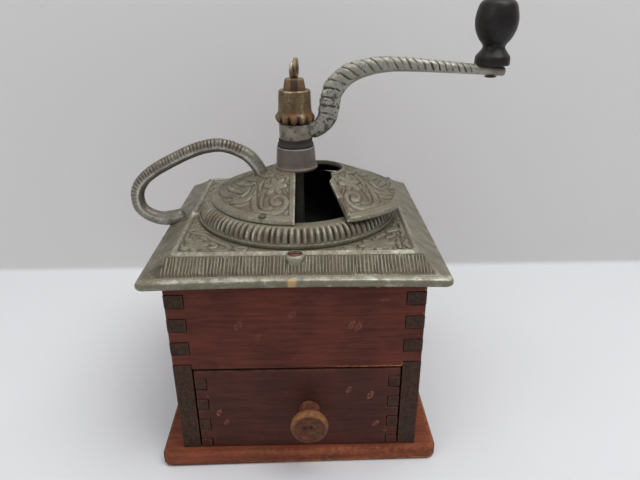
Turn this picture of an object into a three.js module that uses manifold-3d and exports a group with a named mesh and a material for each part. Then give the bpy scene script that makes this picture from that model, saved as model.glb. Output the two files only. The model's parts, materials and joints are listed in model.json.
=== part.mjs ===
// A small wooden box coffee mill: a finger-jointed box with a drawer, a cast iron top with a
// round hopper, a fixed half cover, a swinging half lid, a carrying handle, and a conical burr
// on a spindle that a crank turns and a brass nut raises.
// Lengths are millimetres. +Z is up, -Y is the drawer's side, +X is where the crank points.
// The origin is the middle of the base board's underside, straight below the spindle.

import * as THREE from 'three';
import { mergeVertices } from 'three/addons/utils/BufferGeometryUtils.js';
import Module from 'manifold-3d';

// Clearances, and how finely round things are drawn
const seam = 0.3;
const runningGap = 0.4;
const overrun = 2;
const turnedSides = 48;
const smallSides = 20;
const screwSides = 10;
const cornerSteps = 3;

// Base board
const baseWidth = 178.5;
const baseDepth = 176;
const baseThickness = 11;
const baseCornerRadius = 5;
const baseEdgeRound = 2.6;
const baseTurn = THREE.MathUtils.degToRad(0.9);
const baseShift = -1;

// Box of four boards
const boxWidth = 151;
const boxDepth = 167;
const boxHeight = 118.4;
const sideBoardThickness = 11;
const endBoardThickness = 13;
const fingerHeight = 8.1;
const postRise = 3;
const drawerOpeningHeight = 62.1;

// Drawer
const drawerSideGap = 1;
const drawerTopGap = 1.6;
const drawerBackGap = 4;
const drawerFrontThickness = 9;
const drawerWallThickness = 7;
const drawerWallHeight = 54.7;
const drawerFingerHeight = 8;
const drawerBottomThickness = 3.5;
const drawerBottomRise = 3;
const drawerGrooveDepth = 2.5;
const drawerKnobRadius = 11.5;
const drawerKnobLength = 19;
const drawerKnobHeight = 30.7;
const drawerKnobOffset = 6.9;
const knobScrewReach = 12;

// Cast top plate
const plateWidth = 179;
const plateDepth = 177.5;
const plateRimHeight = 5.4;
const plateLipRound = 2.4;
const plateCornerRadius = 4;
const panelWidth = 143.5;
const panelDepth = 142.5;
const panelRise = 9.2;
const panelThickness = 3.5;
const panelRidgeHeight = 1;
const panelRidgeWidth = 3;
const bossRadius = 6;
const bossHeight = 1.4;
const bossInset = 15.7;

// Hopper with its gadrooned ring
const hopperFlangeRadius = 67;
const hopperFlangeHeight = 2.3;
const hopperRimRadius = 57;
const hopperRimWidth = 5;
const hopperRimHeight = 11.1;
const hopperDepth = 40;
const hopperWall = 3.4;
const throatRadius = 21.5;
const lugReach = 42;
const lugWidth = 11;
const lugThickness = 6;

// Half covers and the collar round the spindle
const coverRadius = 57.6;
const coverBandHeight = 2;
const coverBandWidth = 4.2;
const coverRise = 19.2;
const coverBulge = -0.3;
const coverWall = 2.4;
const collarRadius = 13.6;
const collarTopRadius = 12.4;
const collarLip = 0.9;
const collarLipHeight = 4;
const collarHeight = 14.5;

// Swinging lid
const lidNotchRadius = 15.4;
const lidCornerCutRadius = 7.4;
const lidCornerCutX = -4;
const lidCornerCutY = -16;
const lidPivotX = 5;
const lidPivotY = 55;
const lidOpenAngle = THREE.MathUtils.degToRad(16);
const lidEarRadius = 4.4;
const lidPinRadius = 1.5;
const lidPinHeadRadius = 3;
const lidPinHeadHeight = 1.6;
const lidLugLength = 12;
const lidLugWidth = 4;
const lidLugHeight = 1.8;

// Carrying handle
const handleThickness = 8.8;
const handleDepth = 8.6;
const handleReach = 19.5;
const handleArch = 15.1;
const handleRivetReach = 27.2;
const handleRivetMargin = 5.4;
const handleScrewInset = 7.85;
const handleScrewMargin = 3.75;
const handleStations = 28;
const handleSides = 8;

// Grinding parts
const ringRadius = 29;
const ringHeight = 16;
const ringTeeth = 18;
const toothDepth = 1.2;
const burrGap = 1.3;
const coneRadius = 21.4;
const coneTopRadius = 10.5;
const coneHeight = 19.5;
const coneRingRise = 2;
const coneTeeth = 14;
const coneTwist = THREE.MathUtils.degToRad(29);
const bridgeDrop = 5;
const bridgeThickness = 5;
const bridgeLegGap = 2.4;
const bridgeBossRadius = 8;

// Spindle
const spindleRadius = 5;
const journalRadius = 4;
const journalTail = 2;
const squareWidth = 7;
const spindleTravel = 0.7;
const threadRadius = 3.4;
const conePinRadius = 1.5;

// Crank, its washer and its knob
const washerRadius = 11.9;
const washerTopRadius = 11;
const washerThickness = 4.4;
const hubRadius = 10.7;
const hubHeight = 10;
const crankReach = 124;
const crankRise = 41;
const armThickness = 12;
const armDepth = 9.6;
const armStations = 28;
const armSides = 10;
const knobHeight = 39;
const knobRadius = 13.4;
const knobPinRadius = 2.5;
const knobPinHeadRadius = 4.2;
const knobPinEndRadius = 2.9;
const knobPinHeadHeight = 2;
const knobPinFootHeight = 0.8;

// Regulator nut
const nutSkirtRadius = 13;
const nutSkirtHeight = 5.6;
const nutLobes = 8;
const nutFootRadius = 9.6;
const nutBarrelRadius = 10.8;
const nutShoulderRadius = 9.9;
const nutCrownRadius = 8.8;
const nutBarrelHeight = 15;
const nutTopRadius = 7.6;
const nutTopEndRadius = 6.1;
const nutTopHeight = 7;
const eyeHeight = 12.4;
const eyeWire = 1.5;
const eyeTurn = THREE.MathUtils.degToRad(76);

// Screws and rivets
const woodScrewRadius = 1.9;
const woodScrewHeadRadius = 3.9;
const woodScrewHeadHeight = 1.9;
const woodScrewLength = 24;
const machineScrewRadius = 2;
const machineScrewHeadRadius = 3.6;
const machineScrewHeadHeight = 2.6;
const screwSlotWidth = 1;
const rivetRadius = 1.2;
const rivetHeadRadius = 2;
const rivetHeadHeight = 1.3;
const rivetLength = 6;

// Levels and faces that several pieces share
const boxBottom = baseThickness + seam;
const boxTop = boxBottom + boxHeight;
const openingTop = boxBottom + drawerOpeningHeight;
const postTop = openingTop + postRise;
const plateBottom = boxTop + seam;
const panelTop = plateBottom + plateRimHeight + panelRise;
const hopperSeat = panelTop + seam;
const rimTop = hopperSeat + hopperRimHeight;
const hopperBottom = panelTop - hopperDepth;
const coverSeat = rimTop + seam;
const collarTop = coverSeat + coverRise + collarHeight;
const hubBottom = collarTop + washerThickness + 2 * seam;
const hubTop = hubBottom + hubHeight;
const nutBottom = hubTop + seam;
const ringTop = hopperBottom - seam;
const ringBottom = ringTop - ringHeight;
const coneTop = ringTop + coneRingRise;
const coneBottom = coneTop - coneHeight;
const bridgeTop = coneBottom - bridgeDrop;
const bridgeBottom = bridgeTop - bridgeThickness;
const drawerLength = boxDepth - endBoardThickness - drawerBackGap;
const sideInnerFace = boxWidth / 2 - sideBoardThickness;
const frontFace = -boxDepth / 2;
const hopperBodyRadius = hopperRimRadius + seam;
const boreRadius = spindleRadius + runningGap;

const wasm = await Module();
wasm.setup();

// Joining and cutting closed bodies

function solidOf(geometry) {
  const bare = geometry.clone();
  bare.deleteAttribute('normal');
  bare.deleteAttribute('uv');
  const merged = mergeVertices(bare);
  const corners = merged.index.array;
  const kept = [];
  for (let first = 0; first < corners.length; first += 3) {
    const [a, b, c] = corners.slice(first, first + 3);
    if (a !== b && b !== c && c !== a) kept.push(a, b, c);
  }
  const vertProperties = new Float32Array(merged.getAttribute('position').array);
  const triVerts = new Uint32Array(kept);
  return new wasm.Manifold(new wasm.Mesh({ numProp: 3, vertProperties, triVerts }));
}

function geometryOf(solid) {
  const mesh = solid.getMesh();
  const geometry = new THREE.BufferGeometry();
  geometry.setAttribute('position', new THREE.BufferAttribute(new Float32Array(mesh.vertProperties), 3));
  geometry.setIndex(new THREE.BufferAttribute(new Uint32Array(mesh.triVerts), 1));
  geometry.computeVertexNormals();
  return geometry;
}

function combined(how, first, others) {
  const start = solidOf(first);
  return geometryOf(others.reduce((solid, other) => solid[how](solidOf(other)), start));
}

const joined = (first, ...others) => combined('add', first, others);
const cutBy = (first, ...others) => combined('subtract', first, others);
const sharedBy = (first, ...others) => combined('intersect', first, others);

// Basic bodies

function block(lowX, highX, lowY, highY, lowZ, highZ) {
  const geometry = new THREE.BoxGeometry(highX - lowX, highY - lowY, highZ - lowZ);
  geometry.translate((lowX + highX) / 2, (lowY + highY) / 2, (lowZ + highZ) / 2);
  return geometry;
}

function bar(radius, lowZ, highZ, { x = 0, y = 0, sides = smallSides } = {}) {
  const geometry = new THREE.CylinderGeometry(radius, radius, highZ - lowZ, sides);
  geometry.rotateX(Math.PI / 2);
  geometry.translate(x, y, (lowZ + highZ) / 2);
  return geometry;
}

// A turned body from [radius, height] pairs that start and end on the axis, or close on themselves
function turned(profile, sides = turnedSides) {
  const points = profile.map(([radius, height]) => new THREE.Vector2(radius, height));
  const geometry = new THREE.LatheGeometry(points, sides);
  geometry.rotateX(Math.PI / 2);
  return geometry;
}

// A body through rings of equally many points, closed by a fan at each end
function lofted(rings) {
  const around = rings[0].length;
  const points = rings.flat();
  const faces = [];
  for (let level = 0; level < rings.length - 1; level += 1) {
    for (let step = 0; step < around; step += 1) {
      const here = level * around + step;
      const next = level * around + (step + 1) % around;
      faces.push(here, next, next + around, here, next + around, here + around);
    }
  }
  const lastRing = (rings.length - 1) * around;
  const middleOf = (ring) => ring.reduce((sum, point) => sum.add(point), new THREE.Vector3())
    .divideScalar(around);
  const startMiddle = points.push(middleOf(rings[0])) - 1;
  const endMiddle = points.push(middleOf(rings[rings.length - 1])) - 1;
  for (let step = 0; step < around; step += 1) {
    const next = (step + 1) % around;
    faces.push(startMiddle, next, step, endMiddle, lastRing + step, lastRing + next);
  }
  const geometry = new THREE.BufferGeometry().setFromPoints(points);
  geometry.setIndex(faces);
  return geometry;
}

function roundedRing(halfWidth, halfDepth, radius, height) {
  const ring = [];
  for (let corner = 0; corner < 4; corner += 1) {
    const sideX = corner === 0 || corner === 3 ? 1 : -1;
    const sideY = corner < 2 ? 1 : -1;
    for (let step = 0; step <= cornerSteps; step += 1) {
      const angle = (corner + step / cornerSteps) * Math.PI / 2;
      ring.push(new THREE.Vector3(
        sideX * (halfWidth - radius) + radius * Math.cos(angle),
        sideY * (halfDepth - radius) + radius * Math.sin(angle),
        height,
      ));
    }
  }
  return ring;
}

function toothedRing(radius, height, teeth, depth, turn) {
  const ring = [];
  const steps = teeth * 4;
  for (let step = 0; step < steps; step += 1) {
    const angle = step / steps * 2 * Math.PI + turn;
    const reach = radius - (step % 4 < 2 ? 0 : depth);
    ring.push(new THREE.Vector3(reach * Math.cos(angle), reach * Math.sin(angle), height));
  }
  return ring;
}

// A limb with an oval section along a curve in the XZ plane
function limb(curve, halfHeightAt, halfDepthAt, stations, sides) {
  const side = new THREE.Vector3(0, 1, 0);
  const rings = [];
  for (let station = 0; station <= stations; station += 1) {
    const share = station / stations;
    const centre = curve.getPoint(share);
    const upward = curve.getTangent(share).cross(side).normalize();
    const ring = [];
    for (let step = 0; step < sides; step += 1) {
      const angle = step / sides * 2 * Math.PI;
      ring.push(centre.clone()
        .addScaledVector(side, halfDepthAt(share) * Math.cos(angle))
        .addScaledVector(upward, halfHeightAt(share) * Math.sin(angle)));
    }
    rings.push(ring);
  }
  return lofted(rings);
}

// The value at a share of the way along evenly spaced values
function between(values, share) {
  const place = share * (values.length - 1);
  const low = Math.min(Math.floor(place), values.length - 2);
  return THREE.MathUtils.lerp(values[low], values[low + 1], place - low);
}

// A slotted screw whose head stands on z = 0 and whose shank hangs below it
function screw(radius, headRadius, headHeight, length) {
  const edgeShare = 0.45;
  const profile = [
    [0, -length],
    [radius, radius - length],
    [radius, 0],
    [headRadius, 0],
    [headRadius, headHeight * edgeShare],
    [headRadius / 2, headHeight],
    [0, headHeight],
  ];
  const slotDepth = headHeight * edgeShare;
  const reach = headRadius + overrun;
  const slot = block(-reach, reach, -screwSlotWidth / 2, screwSlotWidth / 2,
    headHeight - slotDepth, headHeight + overrun);
  return cutBy(turned(profile, screwSides), slot);
}

const woodScrew = () => screw(woodScrewRadius, woodScrewHeadRadius, woodScrewHeadHeight, woodScrewLength);
const woodScrewHole = (x, y, headSeat, upward) => {
  const away = upward ? 1 : -1;
  const tip = headSeat - away * (woodScrewLength + seam);
  return bar(woodScrewRadius + seam, Math.min(tip, headSeat), Math.max(tip, headSeat),
    { x, y, sides: screwSides });
};

// Materials

function finish(color, roughness, metalness) {
  return new THREE.MeshStandardMaterial({ color, roughness, metalness });
}

const redWood = finish(0x5c2c20, 0.55, 0);
const baseWood = finish(0x7a3f2b, 0.55, 0);
const drawerWood = finish(0x4d2a25, 0.55, 0);
const knobWood = finish(0x6e4b33, 0.5, 0);
const blackWood = finish(0x1d1917, 0.4, 0);
const castIron = finish(0x87816f, 0.45, 0.8);
const crankIron = finish(0x9a988a, 0.4, 0.85);
const innerIron = finish(0x4c4a45, 0.6, 0.7);
const steel = finish(0x8e8a80, 0.4, 0.9);
const rustySteel = finish(0x6b4a35, 0.7, 0.6);
const agedBrass = finish(0x86713f, 0.45, 0.85);
const leather = finish(0x2b2725, 0.8, 0);

function named(name, geometry, material, group, place = [0, 0, 0]) {
  const mesh = new THREE.Mesh(geometry, material);
  mesh.name = name;
  mesh.position.set(...place);
  group.add(mesh);
  return mesh;
}

// Base board and its four screws

function makeBase(group) {
  const ring = (inset, height) => roundedRing(baseWidth / 2 - inset, baseDepth / 2 - inset,
    baseCornerRadius, height);
  const board = lofted([
    ring(baseEdgeRound / 2, 0),
    ring(0, baseEdgeRound / 2),
    ring(0, baseThickness - baseEdgeRound),
    ring(baseEdgeRound / 3, baseThickness - baseEdgeRound / 3),
    ring(baseEdgeRound, baseThickness),
  ]);
  board.rotateZ(baseTurn);
  board.translate(baseShift, 0, 0);
  const boardMiddleX = boxWidth / 2 - sideBoardThickness / 2;
  const screwDepthShare = 0.7;
  const screwY = boxDepth / 2 * screwDepthShare;
  const headSeat = woodScrewHeadHeight + seam;
  const places = [
    ['base_screw_front_left', -boardMiddleX, -screwY],
    ['base_screw_front_right', boardMiddleX, -screwY],
    ['base_screw_back_left', -boardMiddleX, screwY],
    ['base_screw_back_right', boardMiddleX, screwY],
  ];
  const holes = places.flatMap(([, x, y]) => [
    bar(woodScrewRadius + seam, -overrun, baseThickness + overrun, { x, y, sides: screwSides }),
    bar(woodScrewHeadRadius + seam, -overrun, headSeat + seam, { x, y, sides: screwSides }),
  ]);
  named('base_board', cutBy(board, ...holes), baseWood, group);
  for (const [name, x, y] of places) {
    const mesh = named(name, woodScrew(), steel, group, [x, y, headSeat]);
    mesh.rotation.x = Math.PI;
  }
  return places.map(([, x, y]) => woodScrewHole(x, y, headSeat, false));
}

// Bands of height in which an end board's fingers pass through the side boards

function fingerBands(anchor, height, low, high) {
  const bands = [];
  const first = Math.ceil((low - anchor) / (2 * height) - 1);
  for (let count = first; anchor + 2 * count * height < high; count += 1) {
    const bandLow = Math.max(anchor + 2 * count * height, low);
    const bandHigh = Math.min(anchor + (2 * count + 1) * height, high);
    if (bandHigh - bandLow > 2 * seam) bands.push([bandLow, bandHigh]);
  }
  return bands;
}

// An end board with fingers on both ends, in the XZ plane between two faces
function fingeredBoard({ halfWidth, endThickness, nearY, farY, low, high, bands }) {
  const innerX = halfWidth - endThickness - seam;
  const fingers = bands.map(([bandLow, bandHigh]) => block(-halfWidth, halfWidth, nearY, farY,
    bandLow > low ? bandLow + seam : bandLow, bandHigh < high ? bandHigh - seam : bandHigh));
  return joined(block(-innerX, innerX, nearY, farY, low, high), ...fingers);
}

// The slots that an end board's fingers pass through, cut out of a side board
function fingerSlots({ outerX, innerX, nearY, farY, low, high, bands }) {
  return bands.map(([bandLow, bandHigh]) => block(
    Math.min(outerX, innerX) - overrun, Math.max(outerX, innerX) + overrun, nearY, farY,
    bandLow > low ? bandLow : bandLow - overrun, bandHigh < high ? bandHigh : bandHigh + overrun));
}

function makeBox(group, baseHoles, plateScrewHoles) {
  const frontBands = fingerBands(postTop, fingerHeight, postTop, boxTop);
  const backBands = fingerBands(postTop, fingerHeight, boxBottom, boxTop);
  const slots = (side) => {
    const faces = { outerX: side * boxWidth / 2, innerX: side * sideInnerFace };
    return [
      ...fingerSlots({ ...faces, nearY: frontFace - overrun, farY: frontFace + endBoardThickness + seam,
        low: boxBottom, high: boxTop, bands: frontBands }),
      ...fingerSlots({ ...faces, nearY: -frontFace - endBoardThickness - seam, farY: -frontFace + overrun,
        low: boxBottom, high: boxTop, bands: backBands }),
    ];
  };
  const rightBoard = block(sideInnerFace, boxWidth / 2, frontFace, -frontFace, boxBottom, boxTop);
  const leftBoard = block(-boxWidth / 2, -sideInnerFace, frontFace, -frontFace, boxBottom, boxTop);
  named('right_side_board', cutBy(rightBoard, ...slots(1), ...baseHoles), redWood, group);
  named('left_side_board', cutBy(leftBoard, ...slots(-1), ...baseHoles), redWood, group);
  const ends = { halfWidth: boxWidth / 2, endThickness: sideBoardThickness, high: boxTop };
  const front = fingeredBoard({ ...ends, nearY: frontFace, farY: frontFace + endBoardThickness,
    low: openingTop, bands: frontBands });
  const back = fingeredBoard({ ...ends, nearY: -frontFace - endBoardThickness, farY: -frontFace,
    low: boxBottom, bands: backBands });
  named('front_board', cutBy(front, ...plateScrewHoles), redWood, group);
  named('back_board', cutBy(back, ...plateScrewHoles), redWood, group);
}

// Drawer, in a frame whose origin is the middle of its front's outer face, at its lower edge

function makeDrawer(group) {
  const drawer = new THREE.Group();
  drawer.position.set(0, frontFace, boxBottom);
  group.add(drawer);
  const halfWidth = sideInnerFace - drawerSideGap;
  const frontHeight = drawerOpeningHeight - drawerTopGap;
  const wall = drawerWallThickness;
  const bands = fingerBands(drawerWallHeight - 2 * drawerFingerHeight, drawerFingerHeight,
    0, drawerWallHeight);
  const back = drawerLength - wall;
  const panelInset = wall - drawerGrooveDepth;
  const panelHalfWidth = halfWidth - panelInset;
  const panelNear = drawerFrontThickness - drawerGrooveDepth;
  const panelFar = drawerLength - panelInset;
  const panelTopZ = drawerBottomRise + drawerBottomThickness;
  const groove = block(-panelHalfWidth - seam, panelHalfWidth + seam, panelNear - seam, panelFar + seam,
    drawerBottomRise - seam, panelTopZ + seam);
  const knobHole = bar(woodScrewRadius + seam, -overrun, drawerFrontThickness + overrun,
    { sides: screwSides });
  knobHole.rotateX(-Math.PI / 2);
  knobHole.translate(drawerKnobOffset, 0, drawerKnobHeight);
  const ends = { halfWidth, endThickness: wall, low: 0, bands };
  const front = joined(
    fingeredBoard({ ...ends, nearY: 0, farY: drawerFrontThickness, high: drawerWallHeight }),
    block(-halfWidth, halfWidth, 0, drawerFrontThickness, drawerWallHeight + seam, frontHeight),
    block(seam - halfWidth + wall, halfWidth - wall - seam, 0, drawerFrontThickness, 0, frontHeight),
  );
  named('drawer_front', cutBy(front, groove, knobHole), drawerWood, drawer);
  const rear = fingeredBoard({ ...ends, nearY: back, farY: drawerLength, high: drawerWallHeight });
  named('drawer_back', cutBy(rear, groove), drawerWood, drawer);
  for (const [name, side] of [['drawer_left_side', -1], ['drawer_right_side', 1]]) {
    const outerX = side * halfWidth;
    const innerX = side * (halfWidth - wall);
    const board = block(Math.min(outerX, innerX), Math.max(outerX, innerX), 0, drawerLength,
      0, drawerWallHeight);
    const faces = { outerX, innerX, low: 0, high: drawerWallHeight, bands };
    const slots = [
      ...fingerSlots({ ...faces, nearY: -overrun, farY: drawerFrontThickness + seam }),
      ...fingerSlots({ ...faces, nearY: back - seam, farY: drawerLength + overrun }),
    ];
    named(name, cutBy(board, groove, ...slots), drawerWood, drawer);
  }
  const panel = block(-panelHalfWidth, panelHalfWidth, panelNear, panelFar, drawerBottomRise, panelTopZ);
  named('drawer_bottom', panel, drawerWood, drawer);
  makeDrawerKnob(drawer);
}

function makeDrawerKnob(drawer) {
  const radiusShares = [0.56, 0.58, 0.42, 0.4, 0.62, 0.94, 1, 0.97, 0.8];
  const lengthShares = [0, 0.1, 0.2, 0.42, 0.56, 0.68, 0.8, 0.93, 1];
  const outline = radiusShares.map((share, place) => [
    share * drawerKnobRadius,
    lengthShares[place] * drawerKnobLength,
  ]);
  const holeRadius = woodScrewRadius + seam;
  const turnedKnob = turned([[0, 0], ...outline, [0, drawerKnobLength]], smallSides);
  const hole = bar(holeRadius, -overrun, knobScrewReach + seam, { sides: screwSides });
  const knob = named('drawer_knob', cutBy(turnedKnob, hole), knobWood, drawer,
    [drawerKnobOffset, -seam, drawerKnobHeight]);
  knob.rotation.x = Math.PI / 2;
  const screwLength = drawerFrontThickness + 2 * seam + knobScrewReach;
  const body = screw(woodScrewRadius, woodScrewHeadRadius, woodScrewHeadHeight, screwLength);
  const fastener = named('drawer_knob_screw', body, steel, drawer,
    [drawerKnobOffset, drawerFrontThickness + seam, drawerKnobHeight]);
  fastener.rotation.x = -Math.PI / 2;
}

// Top plate with its ridged panel and the two screwed bosses

const bossY = plateDepth / 2 - bossInset;
const bossTop = panelTop + bossHeight;
const plateScrewSeat = bossTop - woodScrewHeadHeight - seam;

// The plate's outer form, with its side faces moved out and its upper faces up by a clearance
function plateBody(clearance) {
  const ring = (inset, height) => roundedRing(plateWidth / 2 - inset + clearance,
    plateDepth / 2 - inset + clearance, plateCornerRadius + clearance, height + clearance);
  const panelRing = (inset, height) => roundedRing(panelWidth / 2 - inset + clearance,
    panelDepth / 2 - inset + clearance, plateCornerRadius + clearance, height + clearance);
  const rimTopZ = plateBottom + plateRimHeight;
  const ridgeTop = panelTop + panelRidgeHeight;
  return lofted([
    ring(plateLipRound / 2, plateBottom - clearance),
    ring(0, plateBottom + plateLipRound / 2),
    ring(0, rimTopZ - plateLipRound / 2),
    ring(plateLipRound / 2, rimTopZ),
    ring(plateLipRound, rimTopZ),
    panelRing(0, panelTop),
    panelRing(panelRidgeWidth / 3, ridgeTop),
    panelRing(panelRidgeWidth * 2 / 3, ridgeTop),
    panelRing(panelRidgeWidth, panelTop),
  ]);
}

// The height of the plate's upper face at a place on its left or right border
function borderHeight(x) {
  const slopeEnd = plateWidth / 2 - plateLipRound;
  const share = (Math.abs(x) - panelWidth / 2) / (slopeEnd - panelWidth / 2);
  return panelTop - panelRise * THREE.MathUtils.clamp(share, 0, 1);
}

function makePlate(group) {
  const ridgeTop = panelTop + panelRidgeHeight;
  const pocket = block(-sideInnerFace, sideInnerFace,
    frontFace + endBoardThickness, -frontFace - endBoardThickness,
    plateBottom - overrun, panelTop - panelThickness);
  const bosses = [-bossY, bossY].map((y) => bar(bossRadius, plateBottom + plateRimHeight, bossTop, { y }));
  const bossHoles = [-bossY, bossY].flatMap((y) => [
    bar(woodScrewRadius + seam, plateBottom - overrun, bossTop + overrun, { y, sides: screwSides }),
    bar(woodScrewHeadRadius + seam, plateScrewSeat - seam, bossTop + overrun, { y, sides: screwSides }),
  ]);
  const hopperHole = bar(hopperBodyRadius + seam, plateBottom - overrun, ridgeTop + overrun,
    { sides: turnedSides });
  const flangeSeat = bar(hopperFlangeRadius + seam, panelTop, bossTop + overrun, { sides: turnedSides });
  const screwHoles = hopperScrewPlaces.map(([, x, y]) => bar(rivetRadius + seam,
    plateBottom - overrun, ridgeTop + overrun, { x, y, sides: screwSides }));
  const handleHoles = [
    bar(woodScrewRadius + seam, plateBottom - overrun, ridgeTop + overrun,
      { x: handleScrewX, sides: screwSides }),
    bar(woodScrewHeadRadius + seam, plateBottom - overrun, plateBottom + woodScrewHeadHeight + 2 * seam,
      { x: handleScrewX, sides: screwSides }),
  ];
  const bossed = joined(cutBy(plateBody(0), pocket), ...bosses);
  const cuts = [...bossHoles, hopperHole, flangeSeat, ...screwHoles, ...handleHoles];
  named('top_plate', cutBy(bossed, ...cuts), castIron, group);
  named('plate_screw_front', woodScrew(), rustySteel, group, [0, -bossY, plateScrewSeat]);
  named('plate_screw_back', woodScrew(), rustySteel, group, [0, bossY, plateScrewSeat]);
}

// Hopper: the ring on the plate, the bowl below it and the two lugs that carry the burr

const hopperScrewAngle = Math.PI / 4;
const hopperScrewRadius = (hopperFlangeRadius + hopperRimRadius) / 2;
const hopperScrewPlaces = [
  ['hopper_screw_right', 1],
  ['hopper_screw_left', -1],
].map(([name, side]) => [
  name,
  side * hopperScrewRadius * Math.cos(hopperScrewAngle),
  side * hopperScrewRadius * Math.sin(hopperScrewAngle),
]);
const bridgeScrewX = (ringRadius + lugReach) / 2 + rivetRadius;

function makeHopper(group) {
  const flangeTop = hopperSeat + hopperFlangeHeight;
  const bandSteps = 4;
  const band = [];
  for (let step = 0; step <= bandSteps; step += 1) {
    const angle = step / bandSteps * Math.PI / 2;
    const bandWidth = hopperFlangeRadius - hopperFlangeHeight / 2 - hopperRimRadius;
    band.push([
      hopperRimRadius + bandWidth * Math.cos(angle),
      flangeTop + (rimTop - flangeTop) * Math.sin(angle),
    ]);
  }
  const innerMouth = hopperRimRadius - hopperRimWidth;
  const bowl = new THREE.QuadraticBezierCurve(
    new THREE.Vector2(innerMouth, panelTop),
    new THREE.Vector2(innerMouth, hopperBottom + hopperDepth / 3),
    new THREE.Vector2(throatRadius, hopperBottom + lugThickness),
  ).getPoints(5).map(({ x, y }) => [x, y]);
  const outerBowl = bowl.map(([radius, height]) => [radius + hopperWall, height - hopperWall])
    .reverse();
  const profile = [
    [throatRadius, hopperBottom],
    [throatRadius + hopperWall, hopperBottom],
    ...outerBowl.slice(1),
    [hopperBodyRadius, panelTop - hopperWall],
    [hopperBodyRadius, hopperSeat],
    [hopperFlangeRadius, hopperSeat],
    [hopperFlangeRadius, flangeTop],
    ...band,
    [innerMouth, rimTop],
    ...bowl,
    [throatRadius, hopperBottom],
  ];
  const lugs = [-1, 1].map((side) => {
    const innerX = side * (throatRadius + hopperWall / 2);
    const outerX = side * lugReach;
    return block(Math.min(innerX, outerX), Math.max(innerX, outerX), -lugWidth / 2, lugWidth / 2,
      hopperBottom, hopperBottom + lugThickness);
  });
  const holes = [
    ...hopperScrewPlaces.map(([, x, y]) => bar(rivetRadius + seam, hopperSeat - overrun,
      flangeTop + hopperFlangeHeight, { x, y, sides: screwSides })),
    ...coverRivetPlaces.map(([, x, y]) => bar(rivetRadius + seam, rimTop - rivetLength,
      rimTop + overrun, { x, y, sides: screwSides })),
    bar(lidPinRadius + seam, rimTop - rivetLength, rimTop + overrun,
      { x: lidPivotX, y: lidPivotY, sides: screwSides }),
    ...[-bridgeScrewX, bridgeScrewX].map((x) => bar(machineScrewRadius + seam, hopperBottom - overrun,
      hopperBottom + lugThickness + overrun, { x, sides: screwSides })),
  ];
  named('hopper', cutBy(joined(turned(profile), ...lugs), ...holes), castIron, group);
  const headSeat = panelTop - panelThickness - seam;
  const screwLength = flangeTop - headSeat;
  for (const [name, x, y] of hopperScrewPlaces) {
    const body = screw(rivetRadius, rivetHeadRadius, rivetHeadHeight, screwLength);
    const mesh = named(name, body, steel, group, [x, y, headSeat]);
    mesh.rotation.x = Math.PI;
  }
}

// The shape that both half covers share, above their seat

function domeHeight(radius) {
  const share = (coverRadius - radius) / (coverRadius - collarRadius);
  return coverBandHeight + (coverRise - coverBandHeight) * share + 4 * coverBulge * share * (1 - share);
}

// Points along the dome's upper face, moved up or down by a distance
function domeLine(fromRadius, toRadius, lift) {
  const steps = 5;
  return Array.from({ length: steps + 1 }, (_, step) => {
    const radius = THREE.MathUtils.lerp(fromRadius, toRadius, step / steps);
    return [radius, domeHeight(radius) + lift];
  });
}

function domeShell(innerRadius) {
  const bandInner = coverRadius - coverBandWidth;
  return turned([
    [coverRadius, 0],
    ...domeLine(coverRadius, innerRadius, 0),
    ...domeLine(innerRadius, bandInner, -coverWall),
    [bandInner, 0],
    [coverRadius, 0],
  ]);
}

const coverRivetAngle = THREE.MathUtils.degToRad(111);
const coverRivetRadius = coverRadius - coverBandWidth / 2 - rivetHeadRadius / 3;
const coverRivetPlaces = [
  ['cover_rivet_front', -1],
  ['cover_rivet_back', 1],
].map(([name, side]) => [
  name,
  coverRivetRadius * Math.cos(coverRivetAngle),
  side * coverRivetRadius * Math.sin(coverRivetAngle),
]);

function makeCover(group) {
  const reach = coverRadius + overrun;
  const leftHalf = block(-reach, -seam, -reach, reach, -overrun, coverRise + overrun);
  const half = sharedBy(domeShell((boreRadius + collarRadius) / 2), leftHalf);
  const collarLow = coverRise - coverWall - seam;
  const collar = turned([
    [0, collarLow],
    [collarRadius, collarLow],
    [collarRadius, coverRise + collarLipHeight / 4],
    [collarRadius + collarLip, coverRise + collarLipHeight / 3],
    [collarRadius + collarLip, coverRise + collarLipHeight * 2 / 3],
    [collarRadius - collarLip / 2, coverRise + collarLipHeight],
    [collarTopRadius, coverRise + collarHeight],
    [0, coverRise + collarHeight],
  ]);
  const bore = bar(boreRadius, -overrun, coverRise + collarHeight + overrun);
  const rivetHoles = coverRivetPlaces.flatMap(([, x, y]) => [
    bar(rivetRadius + seam, -overrun, coverRise, { x, y, sides: screwSides }),
    bar(rivetHeadRadius + seam, domeHeight(coverRivetRadius), coverRise, { x, y, sides: screwSides }),
  ]);
  const cover = cutBy(joined(half, collar), bore, ...rivetHoles, handleRivetHole());
  named('fixed_cover', cover, castIron, group, [0, 0, coverSeat]);
  const headSeat = domeHeight(coverRivetRadius) + seam;
  for (const [name, x, y] of coverRivetPlaces) {
    const rivet = turned([
      [0, seam - rivetLength],
      [rivetRadius, seam - rivetLength],
      [rivetRadius, headSeat],
      [rivetHeadRadius, headSeat],
      [rivetHeadRadius, headSeat + rivetHeadHeight / 2],
      [rivetHeadRadius / 2, headSeat + rivetHeadHeight],
      [0, headSeat + rivetHeadHeight],
    ], screwSides);
    named(name, rivet, steel, group, [x, y, coverSeat]);
  }
}

// Swinging lid, in a frame whose origin is its pivot on the rim

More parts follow.
